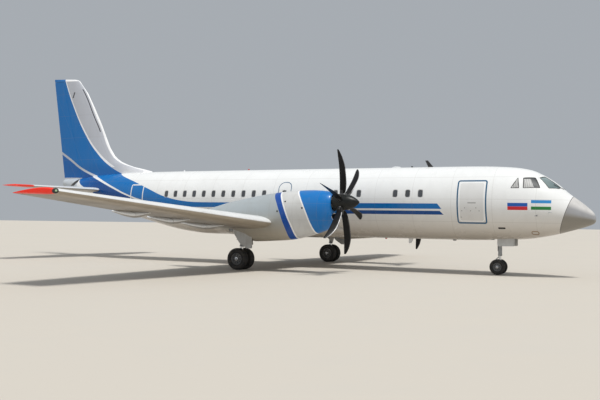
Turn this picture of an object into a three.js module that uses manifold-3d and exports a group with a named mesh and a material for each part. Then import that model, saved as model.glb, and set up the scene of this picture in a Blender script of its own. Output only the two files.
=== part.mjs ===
// Turboprop airliner: low wing, two engines with six-blade propellers, swept fin, low tailplane, tricycle gear.
// Millimetres. X points to the nose, Y to port and Z up. The floor is Z = 0, the middle of the overall length X = 0.
// A station is a distance aft of the nose tip.
import * as THREE from "three";
import { mergeVertices } from "three/addons/utils/BufferGeometryUtils.js";
import Module from "manifold-3d";

const wasm = await Module();
wasm.setup();

// Driving dimensions
const overallLength = 26877;
const wingSpan = 30000;
const finTopHeight = 9186;
const tailplaneSpan = 11100;
const seam = 0.3; // between pieces that touch
const runningGap = 8; // around a piece that moves
const fuselageSides = 32;
const foilSteps = 7;

const radomeJoint = { stationTop: 970, topHeight: 2950, stationBottom: 1330, bottomHeight: 1680 };
const forwardJointStation = 6000;
const rearJointStation = 16800;
const coneJointStation = 24700;
const coneEndStation = 25900;

const wing = {
  kinkY: 4900, leadingAtKink: 11030, chordAtKink: 3300, heightAtKink: 1860, thicknessAtKink: 0.16,
  leadingAtTip: 11960, chordAtTip: 1610, heightAtTip: 2620, thicknessAtTip: 0.12,
  incidence: 2 * Math.PI / 180, camber: 0.02, tipCapY: 14550,
};
const flapHinge = {
  chordShare: 0.7, pivotShare: 0.65, armBelow: 125, aheadOfNose: 30,
  podHalfWidth: 75, knuckle: 92, knuckleGap: 14, tongueHalf: 16, discSides: 10,
};
// The middle pod of each flap carries its hinge pin
const innerFlap = { from: 1720, to: 3470, pods: [2500], pinned: 0 };
const outerFlap = { from: 4960, to: 10760, pods: [6100, 8200, 10300], pinned: 1 };
const aileron = { from: 10830, to: 14480, chordShare: 0.72 };

const tailplane = {
  rootY: 500, leadingAtRoot: 22820, chordAtRoot: 2230, leadingAtTip: 23540, chordAtTip: 930, height: 3330,
  thickness: 0.11, elevatorFrom: 830, elevatorTo: 5330, hingeShare: 0.64,
};
const fin = { rudderFrom: 3985, rudderTo: 9050, topGap: 30, thickness: 0.105, fullThicknessChord: 4000 };
const rudderHinge = { lowerStation: 24800, lowerHeight: 3985, upperStation: 26250, upperHeight: 9050 };

const engine = { y: 4200, thrustHeight: 2660, bladePlane: 8377, spinnerTip: 7690, hubBack: 8655, cowlFront: 8690 };
const propeller = { radius: 1965, blades: 6, firstBladeAngle: -0.2146, backRadius: 320, frontRadius: 285, hubFront: 8180 };

const tyreSegments = 32;
const mainGear = { station: 12686, tyreRadius: 425, tyreWidth: 270, halfPitch: 250, rimRadius: 230, axleRadius: 45 };
const noseGear = { station: 3556, tyreRadius: 300, tyreWidth: 180, halfPitch: 200, rimRadius: 165, axleRadius: 32 };
const mainBay = { from: 12130, to: 13150, halfWidth: 340, roof: 1560 };
const noseBay = { from: 2850, to: 3760, halfWidth: 290, roof: 1900 };

// Sections of the fuselage: station, top and bottom heights, height of the greatest width, half width
const fuselageSections = [
  { station: 0, top: 2237, bottom: 2117, widest: 2177, halfWidth: 60 },
  { station: 60, top: 2395, bottom: 2035, widest: 2200, halfWidth: 205 },
  { station: 250, top: 2600, bottom: 1940, widest: 2250, halfWidth: 385 },
  { station: 580, top: 2870, bottom: 1830, widest: 2330, halfWidth: 590 },
  { station: 920, top: 3125, bottom: 1730, widest: 2410, halfWidth: 770 },
  { station: 1390, top: 3525, bottom: 1600, widest: 2520, halfWidth: 985 },
  { station: 1860, top: 3830, bottom: 1500, widest: 2620, halfWidth: 1150 },
  { station: 2350, top: 4045, bottom: 1420, widest: 2700, halfWidth: 1275 },
  { station: 3000, top: 4155, bottom: 1370, widest: 2760, halfWidth: 1365 },
  { station: 4000, top: 4210, bottom: 1330, widest: 2790, halfWidth: 1420 },
  { station: 5200, top: 4225, bottom: 1310, widest: 2795, halfWidth: 1430 },
  { station: 16800, top: 4225, bottom: 1310, widest: 2795, halfWidth: 1430 },
  { station: 18200, top: 4225, bottom: 1430, widest: 2810, halfWidth: 1415 },
  { station: 20000, top: 4220, bottom: 1790, widest: 2920, halfWidth: 1300 },
  { station: 22000, top: 4180, bottom: 2290, widest: 3120, halfWidth: 1050 },
  { station: 24000, top: 4060, bottom: 2860, widest: 3400, halfWidth: 680 },
  { station: 24700, top: 3965, bottom: 3070, widest: 3500, halfWidth: 525 },
  { station: 25300, top: 3950, bottom: 3250, widest: 3600, halfWidth: 380 },
  { station: 25900, top: 3925, bottom: 3450, widest: 3700, halfWidth: 240 },
];

// Sections of a nacelle, in the same columns, half width about the engine's own Y
const nacelleSections = [
  { station: 8690, top: 2990, bottom: 1880, widest: 2480, halfWidth: 410 },
  { station: 8820, top: 3045, bottom: 1710, widest: 2450, halfWidth: 490 },
  { station: 9100, top: 3090, bottom: 1570, widest: 2420, halfWidth: 560 },
  { station: 9600, top: 3110, bottom: 1400, widest: 2380, halfWidth: 610 },
  { station: 10400, top: 3080, bottom: 1230, widest: 2300, halfWidth: 635 },
  { station: 11200, top: 3000, bottom: 1165, widest: 2200, halfWidth: 640 },
  { station: 12050, top: 2870, bottom: 1125, widest: 2100, halfWidth: 640 },
  { station: 12300, top: 2825, bottom: 1260, widest: 2080, halfWidth: 635 },
  { station: 13250, top: 2630, bottom: 1530, widest: 2040, halfWidth: 590 },
  { station: 14000, top: 2425, bottom: 1620, widest: 2000, halfWidth: 510 },
  { station: 14900, top: 2190, bottom: 1740, widest: 1960, halfWidth: 370 },
  { station: 15600, top: 2030, bottom: 1830, widest: 1930, halfWidth: 170 },
];

// Sections of the fairing where the wing meets the fuselage, in the same columns
const bellyFairingSections = [
  { station: 9700, top: 1900, bottom: 1330, widest: 1600, halfWidth: 950 },
  { station: 10600, top: 2200, bottom: 1265, widest: 1800, halfWidth: 1430 },
  { station: 11600, top: 2330, bottom: 1250, widest: 1850, halfWidth: 1590 },
  { station: 14000, top: 2330, bottom: 1250, widest: 1850, halfWidth: 1590 },
  { station: 15100, top: 2150, bottom: 1270, widest: 1780, halfWidth: 1440 },
  { station: 16100, top: 1850, bottom: 1335, widest: 1600, halfWidth: 900 },
];

// Leading edge of the fin and its dorsal fillet: height, station
const finLeadingEdge = [
  { height: 3940, station: 19900 },
  { height: 4260, station: 20400 },
  { height: 4480, station: 21440 },
  { height: 4750, station: 22250 },
  { height: 5080, station: 22720 },
  { height: 6720, station: 23630 },
  { height: 9060, station: 25150 },
  { height: 9150, station: 25260 },
  { height: finTopHeight, station: 25420 },
];
const finTrailing = { lowerStation: 26000, lowerHeight: 3970, upperStation: overallLength, upperHeight: finTopHeight };

// Blade of the propeller, feathered: share of the radius, chord, thickness, pitch from the plane of rotation, sweep back
const bladeSections = [
  { share: 0.1, chord: 150, thickness: 130, pitch: 100, sweep: -20 },
  { share: 0.22, chord: 235, thickness: 75, pitch: 96, sweep: -50 },
  { share: 0.42, chord: 270, thickness: 45, pitch: 88, sweep: -95 },
  { share: 0.66, chord: 265, thickness: 28, pitch: 80, sweep: -105 },
  { share: 0.86, chord: 205, thickness: 16, pitch: 74, sweep: -50 },
  { share: 1, chord: 70, thickness: 8, pitch: 70, sweep: 35 },
];

const finish = {
  white: new THREE.MeshStandardMaterial({ color: 0xeeedea, roughness: 0.3, metalness: 0.05 }),
  azure: new THREE.MeshStandardMaterial({ color: 0x0a86d8, roughness: 0.3, metalness: 0.05 }),
  blue: new THREE.MeshStandardMaterial({ color: 0x0a5fae, roughness: 0.3, metalness: 0.05 }),
  grey: new THREE.MeshStandardMaterial({ color: 0xb4b8ba, roughness: 0.45, metalness: 0.1 }),
  silver: new THREE.MeshStandardMaterial({ color: 0xa9abad, roughness: 0.4, metalness: 0.3 }),
  steel: new THREE.MeshStandardMaterial({ color: 0x8d9092, roughness: 0.4, metalness: 0.8 }),
  dark: new THREE.MeshStandardMaterial({ color: 0x3b3d40, roughness: 0.5, metalness: 0.3 }),
  black: new THREE.MeshStandardMaterial({ color: 0x141518, roughness: 0.5, metalness: 0.1 }),
  tyre: new THREE.MeshStandardMaterial({ color: 0x17181a, roughness: 0.85, metalness: 0 }),
  glass: new THREE.MeshStandardMaterial({ color: 0x39454d, roughness: 0.1, metalness: 0 }),
  red: new THREE.MeshStandardMaterial({ color: 0xe8442b, roughness: 0.35, metalness: 0 }),
};

const xOf = (station) => overallLength / 2 - station;
const mix = (a, b, t) => a + (b - a) * t;
const place = (station, y, z) => new THREE.Vector3(xOf(station), y, z);

// A closed geometry as a solid, its faces turned to point outwards.
function toSolid(geometry) {
  const bare = geometry.clone();
  bare.deleteAttribute("normal");
  bare.deleteAttribute("uv");
  const merged = mergeVertices(bare, 1e-3);
  const vertProperties = new Float32Array(merged.attributes.position.array);
  const triVerts = new Uint32Array(merged.index.array);
  const made = new wasm.Manifold(new wasm.Mesh({ numProp: 3, vertProperties, triVerts }));
  if (made.volume() > 0) return made;
  for (let i = 0; i < triVerts.length; i += 3) {
    [triVerts[i + 1], triVerts[i + 2]] = [triVerts[i + 2], triVerts[i + 1]];
  }
  return new wasm.Manifold(new wasm.Mesh({ numProp: 3, vertProperties, triVerts }));
}

function toGeometry(solid) {
  const mesh = solid.getMesh();
  const geometry = new THREE.BufferGeometry();
  geometry.setAttribute("position", new THREE.BufferAttribute(new Float32Array(mesh.vertProperties), 3));
  geometry.setIndex(new THREE.BufferAttribute(new Uint32Array(mesh.triVerts), 1));
  geometry.computeVertexNormals();
  return geometry;
}

// The same shape on the other side of the centre line.
function mirrored(solid) {
  return toSolid(toGeometry(solid).scale(1, -1, 1));
}

// A closed body through rings with the same number of points, each end closed by a fan about its middle.
function loft(rings) {
  const count = rings[0].length;
  const middleOf = (ring) => ring.reduce((sum, point) => sum.addScaledVector(point, 1 / count), new THREE.Vector3());
  const points = [...rings.flat(), middleOf(rings[0]), middleOf(rings.at(-1))];
  const indices = [];
  const last = (rings.length - 1) * count;
  for (let i = 0; i < count; i++) {
    const next = (i + 1) % count;
    for (let row = 0; row < last; row += count) {
      indices.push(row + i, row + next, row + next + count, row + i, row + next + count, row + i + count);
    }
    indices.push(next, i, last + count, last + i, last + next, last + count + 1);
  }
  const geometry = new THREE.BufferGeometry();
  geometry.setAttribute("position", new THREE.Float32BufferAttribute(points.flatMap((point) => point.toArray()), 3));
  geometry.setIndex(indices);
  return toSolid(geometry);
}

function box(stationFrom, stationTo, yFrom, yTo, zFrom, zTo) {
  const geometry = new THREE.BoxGeometry(stationTo - stationFrom, yTo - yFrom, zTo - zFrom);
  geometry.translate(xOf((stationFrom + stationTo) / 2), (yFrom + yTo) / 2, (zFrom + zTo) / 2);
  return toSolid(geometry);
}

// A round bar between two points.
function bar(from, to, radius, sides = 12, radiusTo = radius) {
  const along = to.clone().sub(from);
  const geometry = new THREE.CylinderGeometry(radiusTo, radius, along.length(), sides);
  geometry.applyQuaternion(new THREE.Quaternion().setFromUnitVectors(new THREE.Vector3(0, 1, 0), along.clone().normalize()));
  const middle = from.clone().add(to).multiplyScalar(0.5);
  return toSolid(geometry.translate(middle.x, middle.y, middle.z));
}

// A plate with a side-view outline of [station, height] points, between two Y values.
function plate(outline, yFrom, yTo) {
  return loft([yFrom, yTo].map((y) => outline.map(([station, z]) => place(station, y, z))));
}

// A prism with rounded corners, seen from the side.
function roundedPrism(stationFrom, stationTo, zFrom, zTo, radius, yFrom, yTo) {
  const corners = [
    [stationTo - radius, zTo - radius, 0], [stationFrom + radius, zTo - radius, 1],
    [stationFrom + radius, zFrom + radius, 2], [stationTo - radius, zFrom + radius, 3],
  ];
  const outline = corners.flatMap(([station, z, quarter]) => [0, 1, 2].map((step) => {
    const angle = (quarter + step / 2) * Math.PI / 2;
    return [station + radius * Math.cos(angle), z + radius * Math.sin(angle)];
  }));
  return plate(outline, yFrom, yTo);
}

// Values of a section table at a station.
function sectionAt(sections, station) {
  const after = sections.findIndex((section) => section.station >= station);
  if (after <= 0) return sections[after < 0 ? sections.length - 1 : 0];
  const [a, b] = [sections[after - 1], sections[after]];
  const t = (station - a.station) / (b.station - a.station);
  return Object.fromEntries(Object.keys(a).map((key) => [key, mix(a[key], b[key], t)]));
}

// A body from a section table between two stations, its skin moved in by inset.
function body(sections, { from, to, inset = 0, y = 0, sides = fuselageSides }) {
  const inside = sections.map((section) => section.station).filter((station) => station > from && station < to);
  const rings = [from, ...inside, to].map((station) => {
    const section = sectionAt(sections, station);
    return Array.from({ length: sides }, (_, i) => {
      const angle = i / sides * 2 * Math.PI;
      const rise = (Math.cos(angle) > 0 ? section.top - section.widest : section.widest - section.bottom) - inset;
      return place(station, y + (section.halfWidth - inset) * Math.sin(angle), section.widest + rise * Math.cos(angle));
    });
  });
  return loft(rings);
}

const nodes = new THREE.Group();
function addNode(name, solid, material) {
  const mesh = new THREE.Mesh(toGeometry(solid), material);
  mesh.name = name;
  nodes.add(mesh);
}
function addPair(name, portSolid, material) {
  addNode(name + "_left", portSolid, material);
  addNode(name + "_right", mirrored(portSolid), material);
}

// Upper and lower heights of a cambered foil at a share of its chord, as shares of the chord.
function foilHeights(share, thickness, camber) {
  const half = 5 * thickness * (0.2969 * Math.sqrt(share) - 0.126 * share - 0.3516 * share ** 2
    + 0.2843 * share ** 3 - 0.1015 * share ** 4);
  const middle = 4 * camber * share * (1 - share);
  return { upper: middle + half, lower: middle - half };
}

// A ring round a foil: [distance aft of the leading edge, height] points, its skin moved out by grow.
function foilOutline(chord, thickness, camber, incidence, grow = 0) {
  const shares = Array.from({ length: foilSteps + 1 }, (_, i) => (1 - Math.cos(Math.PI * i / foilSteps)) / 2);
  const upper = shares.map((share) => [share * chord, foilHeights(share, thickness, camber).upper * chord + grow]);
  const lower = shares.map((share) => [share * chord, foilHeights(share, thickness, camber).lower * chord - grow]);
  upper[0] = [-grow, 0];
  upper[foilSteps][0] += grow;
  lower[foilSteps][0] += grow;
  return [...upper.reverse(), ...lower.slice(1)].map(([aft, height]) => [
    aft * Math.cos(incidence) + height * Math.sin(incidence),
    height * Math.cos(incidence) - aft * Math.sin(incidence)]);
}

// The wing's leading edge, chord and height at a distance from the centre line.
function wingAt(y) {
  const t = Math.max(0, (y - wing.kinkY) / (wingSpan / 2 - wing.kinkY));
  return {
    leading: mix(wing.leadingAtKink, wing.leadingAtTip, t),
    chord: mix(wing.chordAtKink, wing.chordAtTip, t),
    height: mix(wing.heightAtKink, wing.heightAtTip, t),
    thickness: mix(wing.thicknessAtKink, wing.thicknessAtTip, t),
  };
}
function wingRing(y, { grow = 0, squeeze = 1, thin = 1 } = {}) {
  const { leading, chord, height, thickness } = wingAt(Math.abs(y));
  const outline = foilOutline(chord * squeeze, thickness * thin, wing.camber, wing.incidence, grow);
  return outline.map(([aft, up]) => place(leading + aft + (1 - squeeze) * chord * 0.6, y, height + up));
}
// A point inside the wing at a share of the chord, on the middle of its thickness.
function wingPoint(y, share) {
  const { leading, chord, height, thickness } = wingAt(y);
  const { upper, lower } = foilHeights(share, thickness, wing.camber);
  const middle = (upper + lower) / 2 * chord;
  return {
    station: leading + share * chord * Math.cos(wing.incidence) + middle * Math.sin(wing.incidence),
    height: height + middle * Math.cos(wing.incidence) - share * chord * Math.sin(wing.incidence),
    half: (upper - lower) / 2 * chord,
    lower: height + lower * chord * Math.cos(wing.incidence) - share * chord * Math.sin(wing.incidence),
  };
}

const noseShare = 1.06; // radius of a moving surface's nose, in half thicknesses at its hinge

// Space behind a hinge line: a round nose about the hinge and everything aft of it. Outline in [station, height].
// With openBelow the space has no lip under the nose, for a surface that swings down out of it.
function aftOutline(hinge, radius, openBelow = false) {
  const reach = 2500;
  const nose = (openBelow ? [0, 1, 2, 3] : [0, 1, 2, 3, 4, 5, 6]).map((step) => {
    const angle = Math.PI / 2 + step * Math.PI / 6;
    return [hinge.station + radius * Math.cos(angle), hinge.height + radius * Math.sin(angle)];
  });
  if (openBelow) nose.push([hinge.station - radius, hinge.height - radius * 1.6]);
  return [...nose, [hinge.station + reach, hinge.height - reach / 3], [hinge.station + reach, hinge.height + reach / 3]];
}
// Such a space in the wing; axisAt gives the hinge axis at a Y, and the end faces are square to that axis.
function aftSpace(from, to, share, extra, axisAt, openBelow) {
  const along = axisAt(to).sub(axisAt(from)).normalize();
  const rings = [from, to].map((y) => {
    const hinge = wingPoint(y, share);
    const onAxis = axisAt(y);
    return aftOutline(hinge, hinge.half * noseShare + extra, openBelow).map(([station, z]) => {
      const lean = ((xOf(station) - onAxis.x) * along.x + (z - onAxis.z) * along.z) / along.y;
      return place(station, y - lean, z);
    });
  });
  return loft(rings);
}

// Hinge pin of a moving surface and the hole it turns in.
const pin = { radius: 15, hole: 15.95, length: 60 };
const hingePin = (from, towards) => {
  const along = towards.clone().sub(from).normalize();
  const start = from.clone().addScaledVector(along, -10);
  return bar(start, from.clone().addScaledVector(along, pin.length), pin.radius);
};
const hingeHole = (from, towards) => {
  const along = towards.clone().sub(from).normalize();
  const start = from.clone().addScaledVector(along, -10);
  return bar(start, from.clone().addScaledVector(along, pin.length + 3), pin.hole);
};

// A flap's hinge pod: a fixed front half and a rear half that turns with the flap about the pivot.
function flapPivot(flap, y) {
  const [a, b] = [flap.from, flap.to].map((end) => {
    const nose = wingPoint(end, flapHinge.chordShare);
    const { lower } = wingPoint(end, flapHinge.pivotShare);
    return { station: nose.station - nose.half * noseShare - flapHinge.aheadOfNose, height: lower - flapHinge.armBelow };
  });
  const t = (y - flap.from) / (flap.to - flap.from);
  return { station: mix(a.station, b.station, t), height: mix(a.height, b.height, t) };
}
function flapPivotPoint(flap, y) {
  const { station, height } = flapPivot(flap, y);
  return place(station, y, height);
}
function flapPod(flap, y, pinned) {
  const { podHalfWidth, knuckle, knuckleGap, tongueHalf } = flapHinge;
  const pivot = flapPivot(flap, y);
  const sections = [
    { share: 0.38, below: 25, half: 0.25 },
    { share: 0.5, below: 130, half: 0.8 },
    { share: flapHinge.pivotShare, below: 200, half: 1 },
    { share: 0.85, below: 150, half: 0.95 },
    { share: 1.04, below: 50, half: 0.35 },
  ].map(({ share, below, half }) => {
    const { station, lower } = wingPoint(y, Math.min(share, 1));
    return {
      station: station + Math.max(0, share - 1) * wingAt(y).chord, top: lower + 20, bottom: lower - below,
      widest: lower - below * 0.45, halfWidth: podHalfWidth * half,
    };
  });
  const pod = body(sections, { from: sections[0].station, to: sections.at(-1).station, y, sides: 8 });
  const disc = (radius, halfWidth) => {
    const [from, to] = [y - halfWidth, y + halfWidth].map((end) => flapPivotPoint(flap, end));
    return bar(from, to, radius, flapHinge.discSides);
  };
  const block = (from, to, halfWidth, halfHeight) => box(
    pivot.station + from, pivot.station + to, y - halfWidth, y + halfWidth, pivot.height - halfHeight, pivot.height + halfHeight);
  const fixed = pod.intersect(block(-2000, 0, 200, 1000)).subtract(disc(knuckle + knuckleGap, 200));
  const moving = pod.intersect(block(runningGap, 2000, 200, 1000)).add(pod.intersect(disc(knuckle, 200)));
  if (!pinned) return { fixed, moving };
  return {
    fixed: fixed.add(block(-150, 0, tongueHalf, 30)).add(disc(50, tongueHalf)).add(disc(pin.radius, 40)),
    moving: moving.subtract(block(-300, 0, tongueHalf + 6, 300)).subtract(disc(60, tongueHalf + 6)).subtract(disc(pin.hole, 43)),
  };
}

// Wing
const flapSpace = (flap, extra, trim, openBelow) => aftSpace(
  flap.from + trim, flap.to - trim, flapHinge.chordShare, extra, (y) => flapPivotPoint(flap, y), openBelow);
const joined = (solids) => solids.reduce((all, next) => all.add(next));
const halfSeam = seam / 2;

// A flap with its pods, cut out of a wing panel; the space ahead of the pods' moving halves stays clear.
function flapParts(flap, panel, grownPanel) {
  const pods = flap.pods.map((y, i) => flapPod(flap, y, i === flap.pinned));
  const hole = flapSpace(flap, runningGap, 0, true);
  const movingPods = joined(pods.map((pod) => pod.moving)).subtract(grownPanel.subtract(flapSpace(flap, 0, 0)));
  return {
    hole,
    moving: panel.intersect(flapSpace(flap, 0, runningGap)).add(movingPods),
    fixedPods: joined(pods.map((pod) => pod.fixed)).subtract(hole),
  };
}

const centreYs = [-wing.kinkY + halfSeam, 0, wing.kinkY - halfSeam];
const centrePanel = loft(centreYs.map((y) => wingRing(y)));
const centreWingHole = loft(centreYs.map((y) => wingRing(y, { grow: seam })));
const inner = flapParts(innerFlap, centrePanel, loft(centreYs.map((y) => wingRing(y, { grow: runningGap }))));
const centreWing = centrePanel.subtract(inner.hole).subtract(mirrored(inner.hole))
  .add(inner.fixedPods).add(mirrored(inner.fixedPods));

const outerYs = [wing.kinkY + halfSeam, wing.tipCapY - seam];
const outerPanel = loft(outerYs.map((y) => wingRing(y)));
const outer = flapParts(outerFlap, outerPanel, loft(outerYs.map((y) => wingRing(y, { grow: runningGap }))));
const tipCap = loft([
  wingRing(wing.tipCapY), wingRing(wingSpan / 2 - 90, { squeeze: 0.99, thin: 0.94 }), wingRing(wingSpan / 2, { squeeze: 0.94, thin: 0.55 })]);

const aileronAxisAt = (y) => {
  const { station, height } = wingPoint(y, aileron.chordShare);
  return place(station, y, height);
};
const aileronAxis = [aileron.from, aileron.to].map(aileronAxisAt);
const aileronSpace = (extra, trim) => aftSpace(
  aileron.from + trim, aileron.to - trim, aileron.chordShare, extra, aileronAxisAt);
const aileronSolid = outerPanel.intersect(aileronSpace(0, runningGap))
  .subtract(hingeHole(aileronAxis[0], aileronAxis[1])).subtract(hingeHole(aileronAxis[1], aileronAxis[0]));
const wingJack = { y: 5700, share: 0.36, radius: 70, drop: 40 };
const wingJackAt = wingPoint(wingJack.y, wingJack.share);
const wingJackPad = bar(
  place(wingJackAt.station, wingJack.y, wingJackAt.lower - wingJack.drop),
  place(wingJackAt.station, wingJack.y, wingJackAt.height), wingJack.radius);
const outerWing = outerPanel.subtract(outer.hole)
  .subtract(aileronSpace(runningGap, 0)).add(outer.fixedPods)
  .add(hingePin(aileronAxis[0], aileronAxis[1])).add(hingePin(aileronAxis[1], aileronAxis[0])).add(wingJackPad);

addPair("outer_wing", outerWing, finish.white);
addPair("wing_tip", tipCap, finish.red);
addPair("outer_flap", outer.moving, finish.white);
addPair("inner_flap", inner.moving, finish.white);
addPair("aileron", aileronSolid, finish.white);

// Fuselage
const radomeTilt = Math.atan2(radomeJoint.stationBottom - radomeJoint.stationTop, radomeJoint.topHeight - radomeJoint.bottomHeight);
function aheadOfRadomeJoint(shift) {
  const geometry = new THREE.BoxGeometry(4000, 6000, 8000).translate(2000, 0, 0);
  geometry.rotateY(-radomeTilt);
  return toSolid(geometry.translate(xOf(radomeJoint.stationTop + shift), 0, radomeJoint.topHeight));
}
const noseFull = body(fuselageSections, { from: 0, to: forwardJointStation });
const radome = noseFull.intersect(aheadOfRadomeJoint(0));
let forward = noseFull.subtract(aheadOfRadomeJoint(seam));

// A skin panel with the side-view size of opening, and the recess that it sits in with a gap all round.
function skinPanel(full, insideOf, opening, gap, side) {
  const prism = (by) => roundedPrism(opening.from - by, opening.to + by, opening.bottom - by, opening.top + by,
    opening.corner, Math.min(side * 500, side * 1900), Math.max(side * 500, side * 1900));
  return {
    panel: full.intersect(prism(0)).subtract(insideOf(0)),
    recess: prism(gap).subtract(insideOf(seam)),
  };
}
const doorThickness = 70;
const forwardInside = (extra) => body(fuselageSections, { from: 3000, to: 5800, inset: doorThickness + extra });
const baggageDoor = { from: 3750, to: 4830, bottom: 1980, top: 3585, corner: 120 };
const baggage = skinPanel(noseFull, forwardInside, baggageDoor, seam, -1);
forward = forward.subtract(baggage.recess);

// Entry door with stairs on its inner face, hinged along its sill, and the lobby behind it
const entryDoor = { from: 3850, to: 4750, bottom: 1960, top: 3680, corner: 120, gap: 12 };
const entry = skinPanel(noseFull, forwardInside, entryDoor, entryDoor.gap, 1);
const lobbyInnerY = 150;
const lobbySpace = box(entryDoor.from - entryDoor.gap, entryDoor.to + entryDoor.gap, lobbyInnerY, 1600,
  entryDoor.bottom - entryDoor.gap, entryDoor.top + entryDoor.gap).intersect(forwardInside(0));
const sill = sectionAt(fuselageSections, (entryDoor.from + entryDoor.to) / 2);
const sillDrop = (sill.widest - entryDoor.bottom) / (sill.widest - sill.bottom);
const entryHinge = { y: sill.halfWidth * Math.sqrt(1 - sillDrop ** 2) + 12, z: entryDoor.bottom - 18 };
const entryLug = { stations: [4060, 4540], half: 25, radius: 18, sillRadius: 12, pinRadius: 9, holeRadius: 9.9, relief: 26 };
const alongSill = (from, to, radius) => bar(
  place(from, entryHinge.y, entryHinge.z), place(to, entryHinge.y, entryHinge.z), radius);
const sillLugs = entryLug.stations.map((station) => alongSill(station + 31, station + 60, entryLug.sillRadius)
  .add(box(station + 31, station + 60, entryHinge.y - 60, entryHinge.y, entryHinge.z - entryLug.sillRadius, entryHinge.z))
  .add(alongSill(station - 22, station + 40, entryLug.pinRadius)));
const sillReliefs = entryLug.stations.map((station) => alongSill(station - 31, station + 31, entryLug.relief));
const doorLugs = entryLug.stations.map((station) => alongSill(station - entryLug.half, station + entryLug.half, entryLug.radius)
  .add(box(station - entryLug.half, station + entryLug.half, entryHinge.y - 18, entryHinge.y + 16, entryHinge.z, entryHinge.z + 48)));
const doorHoles = entryLug.stations.map((station) => alongSill(station - 31, station + 28, entryLug.holeRadius));
const stepCount = 6;
const treads = Array.from({ length: stepCount }, (_, i) => {
  const z = mix(entryDoor.bottom + 230, entryDoor.top - 300, i / (stepCount - 1));
  const rise = Math.abs(z - sill.widest) / (z > sill.widest ? sill.top - sill.widest : sill.widest - sill.bottom);
  const skin = sill.halfWidth * Math.sqrt(1 - rise ** 2);
  return box(entryDoor.from + 130, entryDoor.to - 130, skin - 290, skin - 40, z - 15, z + 15);
});
forward = forward.subtract(entry.recess).subtract(lobbySpace).subtract(joined(sillReliefs)).add(joined(sillLugs));
const entrySolid = joined([entry.panel, ...treads, ...doorLugs]).subtract(joined(doorHoles));

// Cockpit glazing: panes in the skin, joined by a band under the posts between them
const paneDepth = 25;
const bandDepth = 50;
const panes = [
  [[2910, 3285], [2610, 3720], [2570, 3285]],
  [[2490, 3690], [2040, 3690], [1820, 3330], [2440, 3285]],
  [[1940, 3710], [1585, 3655], [1215, 3265], [1540, 3290]],
];
const grown = (outline, by) => {
  const middle = outline.reduce((sum, [s, z]) => [sum[0] + s / outline.length, sum[1] + z / outline.length], [0, 0]);
  return outline.map(([s, z]) => {
    const reach = Math.hypot(s - middle[0], z - middle[1]);
    return [middle[0] + (s - middle[0]) * (1 + by / reach), middle[1] + (z - middle[1]) * (1 + by / reach)];
  });
};
const layer = (outer, inner) => body(fuselageSections, { from: 700, to: 3300, inset: outer })
  .subtract(body(fuselageSections, { from: 600, to: 3400, inset: inner }));
const bandZone = (by) => box(1150 - by, 2870 + by, -1500, 1500, 3300 - by, 3680 + by);
const paneZones = (by) => joined([-1, 1].flatMap((side) => panes.map((outline) => {
  const reach = [side * 60, side * 1500].sort((a, b) => a - b);
  return plate(grown(outline, by), reach[0] - by, reach[1] + by);
})));
const glazing = layer(0, paneDepth + 1).intersect(paneZones(0)).add(layer(paneDepth, bandDepth).intersect(bandZone(0)));
const glazingHole = layer(-2, paneDepth + 2).intersect(paneZones(seam * 3))
  .add(layer(paneDepth - seam, bandDepth + seam).intersect(bandZone(seam)));
forward = forward.subtract(glazingHole);

// Nose gear bay
forward = forward.subtract(box(noseBay.from, noseBay.to, -noseBay.halfWidth, noseBay.halfWidth, 1000, noseBay.roof));
const noseJackPad = bar(place(5300, 0, 1270), place(5300, 0, 1360), 70);
forward = forward.add(noseJackPad);

addNode("radome", radome, finish.silver);
addNode("forward_fuselage", forward, finish.white);
addNode("cockpit_glazing", glazing, finish.glass);
addNode("baggage_door", baggage.panel, finish.white);
addNode("entry_door", entrySolid, finish.white);

const centreFull = body(fuselageSections, { from: forwardJointStation + seam, to: rearJointStation });
const bellyFairing = body(bellyFairingSections, { from: 9700, to: 16100, sides: 24 });
const exitHatch = { from: 12040, to: 12560, bottom: 2640, top: 3550, corner: 90 };
const centreInside = (extra) => body(fuselageSections, { from: 11000, to: 14000, inset: 50 + extra });
const hatches = [1, -1].map((side) => skinPanel(centreFull, centreInside, exitHatch, seam, side));
const bladeAntenna = loft([
  [4200, 6190, 6420, 14], [4500, 6430, 6560, 8],
].map(([z, from, to, half]) => [place(from, 0, z), place((from + to) / 2, half, z), place(to, 0, z), place((from + to) / 2, -half, z)]));
const centre = centreFull.add(bellyFairing).subtract(centreWingHole)
  .subtract(hatches[0].recess).subtract(hatches[1].recess).add(bladeAntenna);
addNode("centre_fuselage", centre, finish.white);
addNode("centre_wing", centreWing, finish.white);
addNode("exit_hatch_left", hatches[0].panel, finish.white);
addNode("exit_hatch_right", hatches[1].panel, finish.white);

const rearFull = body(fuselageSections, { from: rearJointStation + seam, to: coneJointStation });
const serviceDoor = { from: 19900, to: 20650, bottom: 2150, top: 3540, corner: 110 };
const rearInside = (extra) => body(fuselageSections, { from: 18200, to: 22000, inset: 60 + extra });
const service = skinPanel(rearFull, rearInside, serviceDoor, seam, -1);
addNode("rear_fuselage", rearFull.subtract(service.recess), finish.blue);
addNode("service_door", service.panel, finish.blue);

const tailConeFull = body(fuselageSections, { from: coneJointStation + seam, to: coneEndStation, sides: 24 });
const exhaustHole = bar(place(25500, 0, 3690), place(26000, 0, 3700), 140, 16);

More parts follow.
